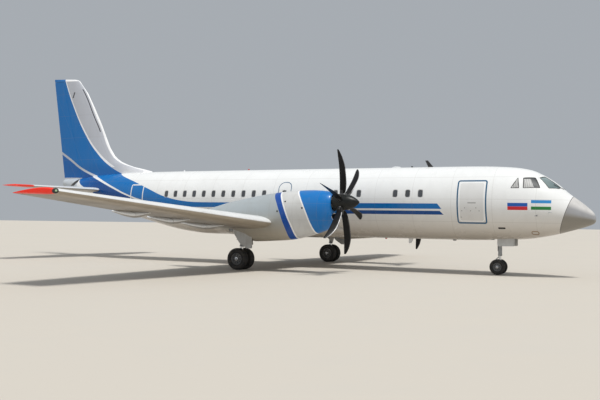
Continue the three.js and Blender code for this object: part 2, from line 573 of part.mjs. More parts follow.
// Fin and rudder
const tailSkin = body(fuselageSections, { from: 19500, to: coneEndStation, inset: -seam });
const finLeadingAt = (z) => {
  const after = Math.max(1, finLeadingEdge.findIndex((point) => point.height >= z));
  const [a, b] = [finLeadingEdge[after - 1], finLeadingEdge[after]];
  return mix(a.station, b.station, (z - a.height) / (b.height - a.height));
};
const alongHeight = (line, z) => mix(line.lowerStation, line.upperStation, (z - line.lowerHeight) / (line.upperHeight - line.lowerHeight));
const finThicknessShare = (chord) => fin.thickness * Math.min(chord, fin.fullThicknessChord) / chord;
function finRing(z) {
  const leading = finLeadingAt(z);
  const chord = alongHeight(finTrailing, z) - leading;
  const thin = z > 9100 ? 0.55 : 1;
  return foilOutline(chord, finThicknessShare(chord) * thin, 0, 0).map(([aft, side]) => place(leading + aft, side, z));
}
const finFull = loft(finLeadingEdge.map(({ height }) => finRing(height)));
function finHalfThickness(z, station) {
  const leading = finLeadingAt(z);
  const chord = alongHeight(finTrailing, z) - leading;
  return foilHeights((station - leading) / chord, finThicknessShare(chord), 0).upper * chord;
}
function rudderSpace(zFrom, zTo, extra) {
  return loft([zFrom, 4480, 5080, 6720, zTo].map((z) => {
    const station = alongHeight(rudderHinge, z);
    const radius = finHalfThickness(z, station) * noseShare + extra;
    return aftOutline({ station, height: 0 }, radius).map(([aft, side]) => place(aft, side, z));
  }));
}
const rudderAxis = [3900, rudderHinge.upperHeight].map((z) => place(alongHeight(rudderHinge, z), 0, z));
const rudderFoot = rudderAxis[0].clone().addScaledVector(rudderAxis[1].clone().sub(rudderAxis[0]).normalize(), 160);
const rudderSolid = finFull.intersect(rudderSpace(fin.rudderFrom, fin.rudderTo - fin.topGap, 0))
  .subtract(hingeHole(rudderAxis[1], rudderAxis[0]))
  .subtract(bar(rudderAxis[0], rudderFoot.clone().lerp(rudderAxis[1], 0.001), pin.hole));
const finSolid = finFull.subtract(rudderSpace(3900, fin.rudderTo, runningGap + 4)).subtract(tailSkin)
  .add(hingePin(rudderAxis[1], rudderAxis[0]));
addNode("fin", finSolid, finish.grey);
addNode("rudder", rudderSolid, finish.blue);
addNode("tail_cone", tailConeFull.subtract(exhaustHole).add(bar(rudderAxis[0], rudderFoot, pin.radius)), finish.grey);

// Tailplane and elevators
function tailplaneAt(y) {
  const t = (y - tailplane.rootY) / (tailplaneSpan / 2 - tailplane.rootY);
  return { leading: mix(tailplane.leadingAtRoot, tailplane.leadingAtTip, t), chord: mix(tailplane.chordAtRoot, tailplane.chordAtTip, t) };
}
function tailplaneRing(y, squeeze = 1) {
  const { leading, chord } = tailplaneAt(y);
  const outline = foilOutline(chord * squeeze, tailplane.thickness * (squeeze < 1 ? 0.5 : 1), 0, 0);
  return outline.map(([aft, up]) => place(leading + aft + (1 - squeeze) * chord * 0.6, y, tailplane.height + up));
}
const tailplaneFull = loft([
  tailplaneRing(tailplane.rootY), tailplaneRing(tailplaneSpan / 2 - 130), tailplaneRing(tailplaneSpan / 2, 0.8)]);
function elevatorHinge(y) {
  const { leading, chord } = tailplaneAt(y);
  return {
    station: leading + chord * tailplane.hingeShare, height: tailplane.height,
    half: foilHeights(tailplane.hingeShare, tailplane.thickness, 0).upper * chord,
  };
}
function elevatorSpace(from, to, extra) {
  return loft([from, to].map((y) => {
    const hinge = elevatorHinge(y);
    return aftOutline(hinge, hinge.half * noseShare + extra).map(([station, z]) => place(station, y, z));
  }));
}
const elevatorAxis = [tailplane.elevatorFrom, tailplane.elevatorTo].map((y) => {
  const hinge = elevatorHinge(y);
  return place(hinge.station, y, hinge.height);
});
const elevatorSolid = tailplaneFull.intersect(elevatorSpace(tailplane.elevatorFrom + runningGap, tailplane.elevatorTo - runningGap, 0))
  .subtract(hingeHole(elevatorAxis[0], elevatorAxis[1])).subtract(hingeHole(elevatorAxis[1], elevatorAxis[0]));
const tailplaneSolid = tailplaneFull.subtract(elevatorSpace(tailplane.elevatorFrom, tailplane.elevatorTo, runningGap))
  .subtract(tailSkin).add(hingePin(elevatorAxis[0], elevatorAxis[1])).add(hingePin(elevatorAxis[1], elevatorAxis[0]));
addPair("tailplane", tailplaneSolid, finish.white);
addPair("elevator", elevatorSolid, finish.white);

// Nacelles and engines
const shaftRadius = 75;
const thrustPoint = (station) => place(station, engine.y, engine.thrustHeight);
const nacelleFull = body(nacelleSections, { from: engine.cowlFront, to: 15600, y: engine.y, sides: 20 });
const bayEnd = 10950;
const engineBay = body(nacelleSections, { from: 8780, to: bayEnd, inset: 70, y: engine.y, sides: 8 });
const spinnerOpening = bar(thrustPoint(8600), thrustPoint(9200), 285, 12);
const intake = loft([8600, 9100].map((station) => Array.from({ length: 12 }, (_, i) => {
  const angle = i / 12 * 2 * Math.PI;
  return place(station, engine.y + 240 * Math.cos(angle), 2130 + 105 * Math.sin(angle));
})));
const gearBay = box(mainBay.from, mainBay.to, engine.y - mainBay.halfWidth, engine.y + mainBay.halfWidth, 900, mainBay.roof);
const nacelleSolid = nacelleFull.subtract(engineBay).subtract(spinnerOpening).subtract(intake).subtract(gearBay)
  .subtract(centreWingHole);
addPair("nacelle", nacelleSolid, finish.azure);

const engineBlock = joined([
  box(9150, 10880, engine.y - 340, engine.y + 340, 2200, 2760),
  box(10800, bayEnd - seam, engine.y - 200, engine.y + 200, 2350, 2700),
  bar(thrustPoint(9200), thrustPoint(8800), 210),
  bar(thrustPoint(8900), thrustPoint(engine.hubBack + seam), shaftRadius),
]);
addPair("engine", engineBlock, finish.steel);

// Propellers: both turn the same way, so neither is a mirror image
function propellerBlade(index, y) {
  const angle = propeller.firstBladeAngle + index * 2 * Math.PI / propeller.blades;
  const out = new THREE.Vector3(0, Math.sin(angle), Math.cos(angle));
  const around = new THREE.Vector3(0, Math.cos(angle), -Math.sin(angle));
  const ahead = new THREE.Vector3(1, 0, 0);
  const centreOf = place(engine.bladePlane, y, engine.thrustHeight);
  const rings = bladeSections.map(({ share, chord, thickness, pitch, sweep }) => {
    const turn = pitch * Math.PI / 180;
    const chordWay = ahead.clone().multiplyScalar(Math.sin(turn)).addScaledVector(around, -Math.cos(turn));
    const thickWay = ahead.clone().multiplyScalar(Math.cos(turn)).addScaledVector(around, Math.sin(turn));
    const middle = centreOf.clone().addScaledVector(out, share * propeller.radius).addScaledVector(chordWay, -sweep);
    return [[-0.5, 0], [-0.1, 0.5], [0.35, 0.4], [0.5, 0], [0.2, -0.4]].map(([along, across]) =>
      middle.clone().addScaledVector(chordWay, along * chord).addScaledVector(thickWay, across * thickness));
  });
  return loft(rings);
}
function propellerSolid(y) {
  const hub = bar(place(engine.hubBack, y, engine.thrustHeight), place(propeller.hubFront, y, engine.thrustHeight),
    propeller.backRadius, 20, propeller.frontRadius);
  return joined([hub, ...Array.from({ length: propeller.blades }, (_, i) => propellerBlade(i, y))]);
}
function spinnerSolid(y) {
  const length = propeller.hubFront - engine.spinnerTip - seam;
  const profile = [[0, 0], [propeller.frontRadius, 0], [268, 0.18], [225, 0.42], [160, 0.68], [85, 0.88], [30, 0.97], [0, 1]]
    .map(([radius, share]) => new THREE.Vector2(radius, share * length));
  const geometry = new THREE.LatheGeometry(profile, 20).rotateZ(-Math.PI / 2);
  return toSolid(geometry.translate(xOf(propeller.hubFront - seam), y, engine.thrustHeight));
}
[["left", engine.y], ["right", -engine.y]].forEach(([side, y]) => {
  addNode("propeller_" + side, propellerSolid(y), finish.black);
  addNode("spinner_" + side, spinnerSolid(y), finish.dark);
});

// Landing gear. A tyre rests on one of its flat facets.
const facetShare = Math.cos(Math.PI / tyreSegments);
const axlePoint = (gear, y) => place(gear.station, y, gear.tyreRadius * facetShare);
function tyreSolid(gear, y) {
  const { tyreRadius: outerRadius, tyreWidth: width, rimRadius: rim } = gear;
  const shoulder = mix(rim, outerRadius, 0.62);
  const profile = [
    [rim, -0.36], [shoulder, -0.5], [outerRadius, -0.26], [outerRadius, 0.26], [shoulder, 0.5], [rim, 0.36], [rim, -0.36],
  ].map(([radius, share]) => new THREE.Vector2(radius, share * width));
  const middle = axlePoint(gear, y);
  return toSolid(new THREE.LatheGeometry(profile, tyreSegments).rotateY(Math.PI / tyreSegments)
    .translate(middle.x, middle.y, middle.z));
}
// A wheel's hub; its dish faces along outward.
function hubSolid(gear, y, outward) {
  const bore = gear.axleRadius + 1;
  const rim = gear.rimRadius * facetShare - seam;
  const half = gear.tyreWidth * 0.32;
  const profile = [
    [bore, -half], [rim, -half], [rim, half * 1.08], [rim * 0.84, half * 0.5],
    [rim * 0.36, half * 0.6], [rim * 0.34, half * 1.15], [bore, half * 1.15], [bore, -half],
  ].map(([radius, along]) => new THREE.Vector2(radius, along));
  const middle = axlePoint(gear, y);
  return toSolid(new THREE.LatheGeometry(profile, tyreSegments / 2).scale(1, outward, 1).translate(middle.x, middle.y, middle.z));
}
function addWheel(name, gear, y, outward) {
  addNode(name + "_tyre", tyreSolid(gear, y), finish.tyre);
  addNode(name + "_hub", hubSolid(gear, y, outward), finish.dark);
}
const axleEnd = (gear) => gear.halfPitch + gear.tyreWidth * 0.32 * 1.15 + 16;
const axleOf = (gear, y) => bar(axlePoint(gear, y - axleEnd(gear)), axlePoint(gear, y + axleEnd(gear)), gear.axleRadius, 12);
// A door plate that hangs from the skin beside a gear bay.
const hungPlate = (outline, yFrom, yTo, skin) => plate(outline, yFrom, yTo).subtract(skin);

const legFoot = { station: 12650, height: 900 };
const trunnionHeight = 1480;
const mainLeg = joined([
  bar(place(12602, engine.y, mainBay.roof + 20), place(legFoot.station, engine.y, legFoot.height), 95),
  bar(place(12606, engine.y - mainBay.halfWidth + seam, trunnionHeight),
    place(12606, engine.y + mainBay.halfWidth - seam, trunnionHeight), 55),
  bar(place(12230, engine.y, 1500), place(12610, engine.y, 1010), 38, 8),
]).intersect(box(12000, 13000, 3000, 5000, 0, mainBay.roof - seam));
const legAxis = axlePoint(mainGear, engine.y).sub(place(legFoot.station, engine.y, legFoot.height)).normalize();
const mainPiston = joined([
  bar(place(legFoot.station, engine.y, legFoot.height).addScaledVector(legAxis, seam * 2), axlePoint(mainGear, engine.y), 62),
  axleOf(mainGear, engine.y),
  bar(place(12680, engine.y, 520), place(12860, engine.y, 680), 24, 8),
  bar(place(12860, engine.y, 680), place(12705, engine.y, 850), 22, 8),
]);
addPair("main_leg", mainLeg, finish.steel);
addPair("main_axle", mainPiston, finish.steel);
const nacelleSkin = body(nacelleSections, { from: 11500, to: 14500, inset: -seam, y: engine.y, sides: 20 });
const outerDoorOutline = [[13080, 1800], [12060, 1800], [11980, 850], [12240, 850], [12560, 1060]];
const innerDoorOutline = [[13080, 1800], [12420, 1800], [12360, 940], [12560, 1060]];
[["outer", 1, outerDoorOutline], ["inner", -1, innerDoorOutline]].forEach(([which, way, outline]) => {
  const edges = [345, 370].map((offset) => engine.y + way * offset).sort((a, b) => a - b);
  addPair("main_door_" + which, hungPlate(outline, edges[0], edges[1], nacelleSkin), finish.grey);
});
[["left", 1], ["right", -1]].forEach(([side, sign]) => {
  const y = sign * engine.y;
  addWheel("main_outer_" + side, mainGear, y + sign * mainGear.halfPitch, sign);
  addWheel("main_inner_" + side, mainGear, y - sign * mainGear.halfPitch, -sign);
});

const steering = { station: 3500, height: 800 };
const noseLeg = joined([
  bar(place(steering.station, 0, noseBay.roof - seam), place(steering.station, 0, steering.height), 75),
  bar(place(steering.station, -noseBay.halfWidth + seam, 1600), place(steering.station, noseBay.halfWidth - seam, 1600), 40),
  bar(place(2920, 0, 1800), place(steering.station - 20, 0, 1050), 28, 8),
]);
const noseFork = joined([
  bar(place(steering.station, 0, steering.height - seam * 2), place(steering.station, 0, 720), 82),
  bar(place(steering.station, 0, 760), place(steering.station, 0, 400), 48),
  bar(place(steering.station, 0, 420), axlePoint(noseGear, 0), 42, 12),
  axleOf(noseGear, 0),
]);
addNode("nose_leg", noseLeg, finish.steel);
addNode("nose_fork", noseFork, finish.steel);
const noseSkin = body(fuselageSections, { from: 2500, to: 4200, inset: -seam });
const noseDoorOutline = [[3545, 1700], [2890, 1700], [2890, 1120], [3500, 1100], [3545, 1150]];
addPair("nose_door", hungPlate(noseDoorOutline, noseBay.halfWidth + 5, noseBay.halfWidth + 25, noseSkin), finish.grey);
[["left", 1], ["right", -1]].forEach(([side, sign]) => addWheel("nose_" + side, noseGear, sign * noseGear.halfPitch, sign));

export default nodes;
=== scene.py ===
import bisect
import math

import bpy
import bmesh
from mathutils import Matrix, Vector


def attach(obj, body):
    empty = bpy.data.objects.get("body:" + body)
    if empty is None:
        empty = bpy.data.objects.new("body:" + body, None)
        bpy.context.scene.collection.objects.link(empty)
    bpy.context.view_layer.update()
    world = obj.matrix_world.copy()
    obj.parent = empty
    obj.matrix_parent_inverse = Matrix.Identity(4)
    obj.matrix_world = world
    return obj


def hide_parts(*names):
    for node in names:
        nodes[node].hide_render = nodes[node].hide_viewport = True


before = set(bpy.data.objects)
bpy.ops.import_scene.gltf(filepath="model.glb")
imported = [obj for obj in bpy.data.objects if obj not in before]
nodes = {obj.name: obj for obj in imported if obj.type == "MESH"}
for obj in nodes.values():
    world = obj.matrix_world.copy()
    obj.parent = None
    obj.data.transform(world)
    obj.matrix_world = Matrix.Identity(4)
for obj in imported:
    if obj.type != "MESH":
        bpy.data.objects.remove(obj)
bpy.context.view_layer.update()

scene = bpy.context.scene

# Metres. +X to the nose, +Y to port, +Z up. A station is a distance aft of the nose tip.
overallLength = 26.877
noseX = overallLength / 2
sides = {"left": 1, "right": -1}
creaseAngle = 32


# A shape is a pair (points, faces)
def at(station, y, z):
    return Vector((noseX - station, y, z))


def blend(a, b, t):
    return a + (b - a) * t


def loft(rings, closed=True, capped=True):
    count = len(rings[0])
    points = [Vector(p) for ring in rings for p in ring]
    faces = []
    for row in range(0, (len(rings) - 1) * count, count):
        for i in range(count if closed else count - 1):
            j = (i + 1) % count
            faces.append((row + i, row + j, row + count + j, row + count + i))
    if capped:
        last = (len(rings) - 1) * count
        faces.append(tuple(range(count - 1, -1, -1)))
        faces.append(tuple(range(last, last + count)))
    return points, faces


def ringAbout(centre, axis, radius, count, squash=1.0, turn=0.0):
    axis = Vector(axis).normalized()
    first = axis.orthogonal().normalized()
    if abs(axis.z) < 0.9:
        first = axis.cross(Vector((0, 0, 1))).normalized()
    second = axis.cross(first)
    angles = [turn + 2 * math.pi * i / count for i in range(count)]
    return [Vector(centre) + first * (radius * math.cos(a)) + second * (radius * squash * math.sin(a)) for a in angles]


# A body turned about an axis: steps are (distance along the axis, radius)
def turned(origin, axis, steps, count=32, capped=True):
    way = Vector(axis).normalized()
    return loft([ringAbout(Vector(origin) + way * d, way, max(r, 0.0002), count) for d, r in steps], capped=capped)


def rod(a, b, radius, count=16, endRadius=None):
    a, b = Vector(a), Vector(b)
    return turned(a, b - a, [(0, radius), ((b - a).length, radius if endRadius is None else endRadius)], count)


def hose(points, radius, count=10):
    points = [Vector(p) for p in points]
    rings = []
    for i, p in enumerate(points):
        way = points[min(i + 1, len(points) - 1)] - points[max(i - 1, 0)]
        rings.append(ringAbout(p, way, radius, count))
    return loft(rings)


def brick(low, high, bevel=0.0):
    (x0, y0, z0), (x1, y1, z1) = low, high
    b = min(bevel, (x1 - x0) / 3, (y1 - y0) / 3, (z1 - z0) / 3)
    outline = [(x0 + b, y0), (x1 - b, y0), (x1, y0 + b), (x1, y1 - b), (x1 - b, y1), (x0 + b, y1), (x0, y1 - b),
               (x0, y0 + b)]
    if b <= 0:
        outline = [(x0, y0), (x1, y0), (x1, y1), (x0, y1)]
    middle = ((x0 + x1) / 2, (y0 + y1) / 2)
    shrunk = [(blend(x, middle[0], 2 * b / (x1 - x0)), blend(y, middle[1], 2 * b / (y1 - y0))) for x, y in outline]
    layers = [(shrunk, z0), (outline, z0 + b), (outline, z1 - b), (shrunk, z1)] if b > 0 else [(outline, z0),
                                                                                               (outline, z1)]
    return loft([[(x, y, z) for x, y in ring] for ring, z in layers])


# A prism with a side-view outline of (station, height) points
def plate(outline, yFrom, yTo):
    return loft([[at(s, y, z) for s, z in outline] for y in (yFrom, yTo)])


def joined(*shapes):
    points, faces = [], []
    for shapePoints, shapeFaces in shapes:
        base = len(points)
        points += shapePoints
        faces += [tuple(base + i for i in face) for face in shapeFaces]
    return points, faces


def mirrored(shape):
    points, faces = shape
    return [Vector((p[0], -p[1], p[2])) for p in points], [tuple(reversed(face)) for face in faces]


def onSide(shape, side):
    return shape if side > 0 else mirrored(shape)


# A layer is a shape with the key of its paint
def sided(layers, side):
    return [(onSide(shape, side), paint) for shape, paint in layers]


def asOneCut(layers):
    return joined(*[shape for shape, paint in layers]), layers[0][1]


def makeObject(name, layers, smoothAngle=creaseAngle):
    mesh = bpy.data.meshes.new(name)
    points, faces, slots, used = [], [], [], []
    for shape, paint in layers:
        if paint not in used:
            used.append(paint)
        base = len(points)
        points += [tuple(p) for p in shape[0]]
        faces += [tuple(base + i for i in face) for face in shape[1]]
        slots += [used.index(paint)] * len(shape[1])
    mesh.from_pydata(points, [], faces)
    for paint in used:
        mesh.materials.append(paints[paint])
    mesh.polygons.foreach_set("material_index", slots)
    turnOut = bmesh.new()
    turnOut.from_mesh(mesh)
    bmesh.ops.recalc_face_normals(turnOut, faces=turnOut.faces)
    turnOut.to_mesh(mesh)
    turnOut.free()
    piece = bpy.data.objects.new(name, mesh)
    scene.collection.objects.link(piece)
    shadeSmooth(piece, smoothAngle)
    return piece


def shadeSmooth(piece, angle=creaseAngle):
    piece.data.shade_smooth()
    piece.data.set_sharp_from_angle(angle=math.radians(angle))


# Cuts a piece with other shapes; a cut face takes the paint of the shape that cut it
def carve(piece, cutters, operation="DIFFERENCE", smoothAngle=creaseAngle):
    made = []
    for layer in cutters:
        cutter = makeObject("cutter", [layer])
        cut = piece.modifiers.new("cut", "BOOLEAN")
        cut.operation, cut.solver, cut.object = operation, "EXACT", cutter
        cut.material_mode = "TRANSFER"
        made.append(cutter)
    bpy.context.view_layer.update()
    mesh = bpy.data.meshes.new_from_object(piece.evaluated_get(bpy.context.evaluated_depsgraph_get()))
    piece.modifiers.clear()
    old, piece.data = piece.data, mesh
    bpy.data.meshes.remove(old)
    for cutter in made:
        bpy.data.objects.remove(cutter)
    shadeSmooth(piece, smoothAngle)
    return piece


# Gives a carved skin the shading of the smooth surface that it was cut from
def shadeLike(piece, level, step=0.002, reach=0.02, alike=0.8):
    mesh, normals, cache = piece.data, [], {}
    shifts = [Vector((step, 0, 0)), Vector((0, step, 0)), Vector((0, 0, step))]
    for face in mesh.polygons:
        for corner in face.vertices:
            if corner not in cache:
                place = mesh.vertices[corner].co
                slope = Vector([level(*(place + shift)) - level(*(place - shift)) for shift in shifts])
                onSkin = abs(level(*place)) < reach and slope.length > 0
                cache[corner] = slope.normalized() if onSkin else None
            smooth = cache[corner]
            normals.append(smooth if smooth and smooth.dot(face.normal) > alike else face.normal.copy())
    mesh.normals_split_custom_set(normals)


def settle(piece, body, materialSlot, *replaced):
    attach(piece, body)
    if replaced:
        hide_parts(*replaced)
    return piece


def addPiece(name, layers, body, materialSlot, *replaced, smoothAngle=creaseAngle):
    return settle(makeObject(name, layers, smoothAngle), body, materialSlot, *replaced)


# Rounds the corners of a polygon
def roundPolygon(corners, radius, steps=5):
    outline = []
    for i, corner in enumerate(corners):
        corner = Vector(corner)
        before, after = Vector(corners[i - 1]) - corner, Vector(corners[(i + 1) % len(corners)]) - corner
        opening = before.angle(after)
        reach = min(radius / math.tan(opening / 2), before.length * 0.45, after.length * 0.45)
        start, end = corner + before.normalized() * reach, corner + after.normalized() * reach
        for k in range(steps + 1):
            t = k / steps
            outline.append(tuple(start * (1 - t) ** 2 + corner * (2 * t * (1 - t)) + end * t ** 2))
    return outline


def roundBox(stationFrom, stationTo, bottom, top, radius, grow=0.0, steps=5):
    a, b, c, d = stationFrom - grow, stationTo + grow, bottom - grow, top + grow
    return roundPolygon([(a, c), (b, c), (b, d), (a, d)], radius + max(grow, 0) * 0.5, steps)


# A table of sections (station, top, bottom, height of the greatest width, half width), read smoothly between its rows
def sectionCurve(rows):
    stations = [row[0] for row in rows]
    columns = []
    for c in range(1, len(rows[0])):
        gaps = [stations[i + 1] - stations[i] for i in range(len(rows) - 1)]
        slopes = [(rows[i + 1][c] - rows[i][c]) / gaps[i] for i in range(len(rows) - 1)]
        tangents = [slopes[0]]
        for i in range(1, len(slopes)):
            a, b = slopes[i - 1], slopes[i]
            tangents.append(0 if a * b <= 0 else 3 * (gaps[i - 1] + gaps[i]) / (
                (2 * gaps[i] + gaps[i - 1]) / a + (gaps[i] + 2 * gaps[i - 1]) / b))
        columns.append(tangents + [slopes[-1]])

    def read(station):
        i = min(max(bisect.bisect_right(stations, station) - 1, 0), len(rows) - 2)
        h = stations[i + 1] - stations[i]
        t = min(max((station - stations[i]) / h, 0), 1)
        basis = (2 * t ** 3 - 3 * t ** 2 + 1, t ** 3 - 2 * t ** 2 + t, 3 * t ** 2 - 2 * t ** 3, t ** 3 - t ** 2)
        return [basis[0] * rows[i][c] + basis[1] * h * columns[c - 1][i] + basis[2] * rows[i + 1][c]
                + basis[3] * h * columns[c - 1][i + 1] for c in range(1, len(rows[0]))]
    return read


def sectionRing(read, station, count, inset=0.0, y=0.0):
    top, bottom, widest, half = read(station)
    ring = []
    for i in range(count):
        angle = 2 * math.pi * i / count
        rise = (top - widest if math.cos(angle) > 0 else widest - bottom) - inset
        ring.append(at(station, y + (half - inset) * math.sin(angle), widest + rise * math.cos(angle)))
    return ring


def sectionBody(read, stations, count=96, inset=0.0, y=0.0):
    return loft([sectionRing(read, s, count, inset, y) for s in stations])


def spread(start, end, step):
    count = max(1, round((end - start) / step))
    return [blend(start, end, i / count) for i in range(count + 1)]


# How far a point is outside such a body, in shares of its size
def sectionLevel(read, y=0.0):
    def level(px, py, pz):
        top, bottom, widest, half = read(noseX - px)
        rise = top - widest if pz > widest else widest - bottom
        return math.sqrt(((py - y) / half) ** 2 + ((pz - widest) / rise) ** 2) - 1
    return level


def skinY(read, station, z, offset=0.0):
    top, bottom, widest, half = read(station)
    rise = (top - widest if z > widest else widest - bottom) + offset
    return (half + offset) * math.sqrt(max(0, 1 - ((z - widest) / rise) ** 2))


# The nearest point of such a skin, moved out by offset
def ontoSkin(level, point, offset=0.0):
    place, step = Vector(point), 0.001
    shifts = [Vector((step, 0, 0)), Vector((0, step, 0)), Vector((0, 0, step))]
    for turn in range(4):
        slope = Vector([(level(*(place + shift)) - level(*(place - shift))) / (2 * step) for shift in shifts])
        place = place - slope * (level(*place) / slope.length_squared)
    return place + slope.normalized() * offset


def skinOutline(read, outline, y=0.0):
    return [at(s, y + skinY(read, s, z), z) for s, z in outline]


def skinRing(level, outline, share, offset):
    middle = sum(outline, Vector()) / len(outline)
    return [ontoSkin(level, middle.lerp(p, share), offset) for p in outline]


# A pane or panel, a frame and a cutter that follow a skin within an outline
def skinPatch(level, outline, offset=0.0, thick=0.012, bevel=0.004, rows=3):
    middle = sum(outline, Vector()) / len(outline)
    size = sum((p - middle).length for p in outline) / len(outline)
    rings = [skinRing(level, outline, 1, offset - thick), skinRing(level, outline, 1, offset - bevel)]
    rings += [skinRing(level, outline, max(0.02, (1 - bevel / size) * (1 - i / rows)), offset) for i in range(rows + 1)]
    return loft(rings)


def skinFrame(level, outer, inner, offset, depth):
    rings = [skinRing(level, outer, 1, offset - depth), skinRing(level, outer, 1, offset),
             skinRing(level, inner, 1, offset),
             skinRing(level, inner, 1, offset - depth)]
    return loft(rings + [rings[0]], capped=False)


def skinCutter(level, outline, depth, above=0.04):
    return loft([skinRing(level, outline, 1, -depth), skinRing(level, outline, 1, above)])


# Takes a piece's mesh back as a shape
def shapeOf(piece):
    mesh = piece.data
    shape = [v.co.copy() for v in mesh.vertices], [tuple(face.vertices) for face in mesh.polygons]
    bpy.data.objects.remove(piece)
    bpy.data.meshes.remove(mesh)
    return shape


# A closed profile of (distance along the axis, radius) turned right round
def spun(origin, axis, profile, count=64):
    rings = [ringAbout(Vector(origin) + Vector(axis).normalized() * d, axis, r, count) for d, r in profile]
    rows = len(rings)
    points = [p for ring in rings for p in ring]
    faces = []
    for j in range(rows):
        k = (j + 1) % rows
        faces += [(j * count + i, j * count + (i + 1) % count, k * count + (i + 1) % count, k * count + i)
                  for i in range(count)]
    return points, faces


# Shader nodes: add makes a node, calc a sum, and a mask is 1 inside and 0 outside
def add(tree, kind, inputs=None, **settings):
    node = tree.nodes.new(kind if kind.startswith("NodeGroup") else "ShaderNode" + kind)
    for key, value in settings.items():
        setattr(node, key, value)
    for key, value in (inputs or {}).items():
        if isinstance(value, bpy.types.NodeSocket):
            tree.links.new(value, node.inputs[key])
        else:
            node.inputs[key].default_value = value
    return node


def calc(tree, operation, *values, clamp=False):
    return add(tree, "Math", dict(enumerate(values)), operation=operation, use_clamp=clamp).outputs[0]


def over(tree, value, limit, soft=0.006):
    if isinstance(limit, bpy.types.NodeSocket):
        return calc(tree, "MULTIPLY_ADD", calc(tree, "SUBTRACT", value, limit), 1 / soft, 0.5, clamp=True)
    return calc(tree, "MULTIPLY_ADD", value, 1 / soft, 0.5 - limit / soft, clamp=True)


def under(tree, value, limit, soft=0.006):
    return calc(tree, "SUBTRACT", 1.0, over(tree, value, limit, soft))


def both(tree, *masks):
    mask = masks[0]
    for other in masks[1:]:
        mask = calc(tree, "MULTIPLY", mask, other)
    return mask


def either(tree, *masks):
    mask = masks[0]
    for other in masks[1:]:
        mask = calc(tree, "MAXIMUM", mask, other)
    return mask


def within(tree, value, low, high, soft=0.006):
    return both(tree, over(tree, value, low, soft), under(tree, value, high, soft))


def paintOn(tree, base, colour, mask):
    mix = add(tree, "Mix", {0: mask, 6: base, 7: colour}, data_type="RGBA")
    return mix.outputs[2]


def curveOf(tree, value, knots):
    lowX, highX = knots[0][0], knots[-1][0]
    lowY, highY = min(k[1] for k in knots), max(k[1] for k in knots)
    share = calc(tree, "MULTIPLY_ADD", value, 1 / (highX - lowX), -lowX / (highX - lowX), clamp=True)
    node = add(tree, "FloatCurve", {"Value": share})
    points = node.mapping.curves[0].points
    scaled = [((x - lowX) / (highX - lowX), (y - lowY) / (highY - lowY)) for x, y in knots]
    points[0].location, points[1].location = scaled[0], scaled[-1]
    for x, y in scaled[1:-1]:
        points.new(x, y)
    for knot in points:
        knot.handle_type = "AUTO_CLAMPED"
    node.mapping.update()
    return calc(tree, "MULTIPLY_ADD", node.outputs[0], highY - lowY, lowY)


def newGroup(name, inputs, outputs):
    tree = bpy.data.node_groups.new(name, "ShaderNodeTree")
    for label, kind, value in inputs:
        socket = tree.interface.new_socket(name=label, in_out="INPUT", socket_type="NodeSocket" + kind)
        if value is not None:
            socket.default_value = value
    for label, kind in outputs:
        tree.interface.new_socket(name=label, in_out="OUTPUT", socket_type="NodeSocket" + kind)
    return tree, add(tree, "NodeGroupInput").outputs, add(tree, "NodeGroupOutput").inputs


def stationAndHeight(tree, vector):
    axes = add(tree, "SeparateXYZ", {0: vector}).outputs
    return calc(tree, "SUBTRACT", noseX, axes[0]), axes[1], axes[2]


def leaning(tree, s, z, slope):
    return calc(tree, "MULTIPLY_ADD", z, slope, s)


def upwardFacing(tree):
    return add(tree, "SeparateXYZ", {0: add(tree, "TexCoord").outputs["Normal"]}).outputs[2]


# Dirt patches, downward streaks and a fine grain
def grimeGroup():
    tree, given, out = newGroup("grime", [("Vector", "Vector", None), ("Scale", "Float", 1.0)],
                                [("Patches", "Float"), ("Streaks", "Float"), ("Grain", "Float")])
    patches = add(tree, "TexNoise", {"Vector": given["Vector"], "Scale": given["Scale"], "Detail": 6.0,
                                     "Roughness": 0.62})
    stretched = add(tree, "Mapping", {"Vector": given["Vector"], "Scale": (5.0, 5.0, 0.5)})
    streaks = add(tree, "TexNoise", {"Vector": stretched.outputs[0], "Scale": given["Scale"], "Detail": 4.0})
    grain = add(tree, "TexNoise", {"Vector": given["Vector"], "Scale": calc(tree, "MULTIPLY", given["Scale"], 40.0),
                                   "Detail": 3.0})
    ranges = [("Patches", patches, 0.42, 0.72), ("Streaks", streaks, 0.5, 0.78), ("Grain", grain, 0.2, 0.8)]
    for label, source, low, high in ranges:
        shown = add(tree, "MapRange", {"Value": source.outputs[0], "From Min": low, "From Max": high})
        tree.links.new(shown.outputs[0], out[label])
    return tree


# Thin lines a spacing apart along one coordinate
def seamGroup():
    tree, given, out = newGroup("seams", [("Value", "Float", 0.0), ("Spacing", "Float", 1.0), ("Start", "Float", 0.0),
                                          ("Width", "Float", 0.01)],
                                [("Line", "Float")])
    turns = calc(tree, "DIVIDE", calc(tree, "SUBTRACT", given["Value"], given["Start"]), given["Spacing"])
    off = calc(tree, "ABSOLUTE", calc(tree, "SUBTRACT", calc(tree, "FRACT", calc(tree, "ADD", turns, 0.5)), 0.5))
    reach = calc(tree, "MULTIPLY", off, given["Spacing"])
    tree.links.new(calc(tree, "SUBTRACT", 1.0, calc(tree, "DIVIDE", reach, given["Width"], clamp=True)), out["Line"])
    return tree


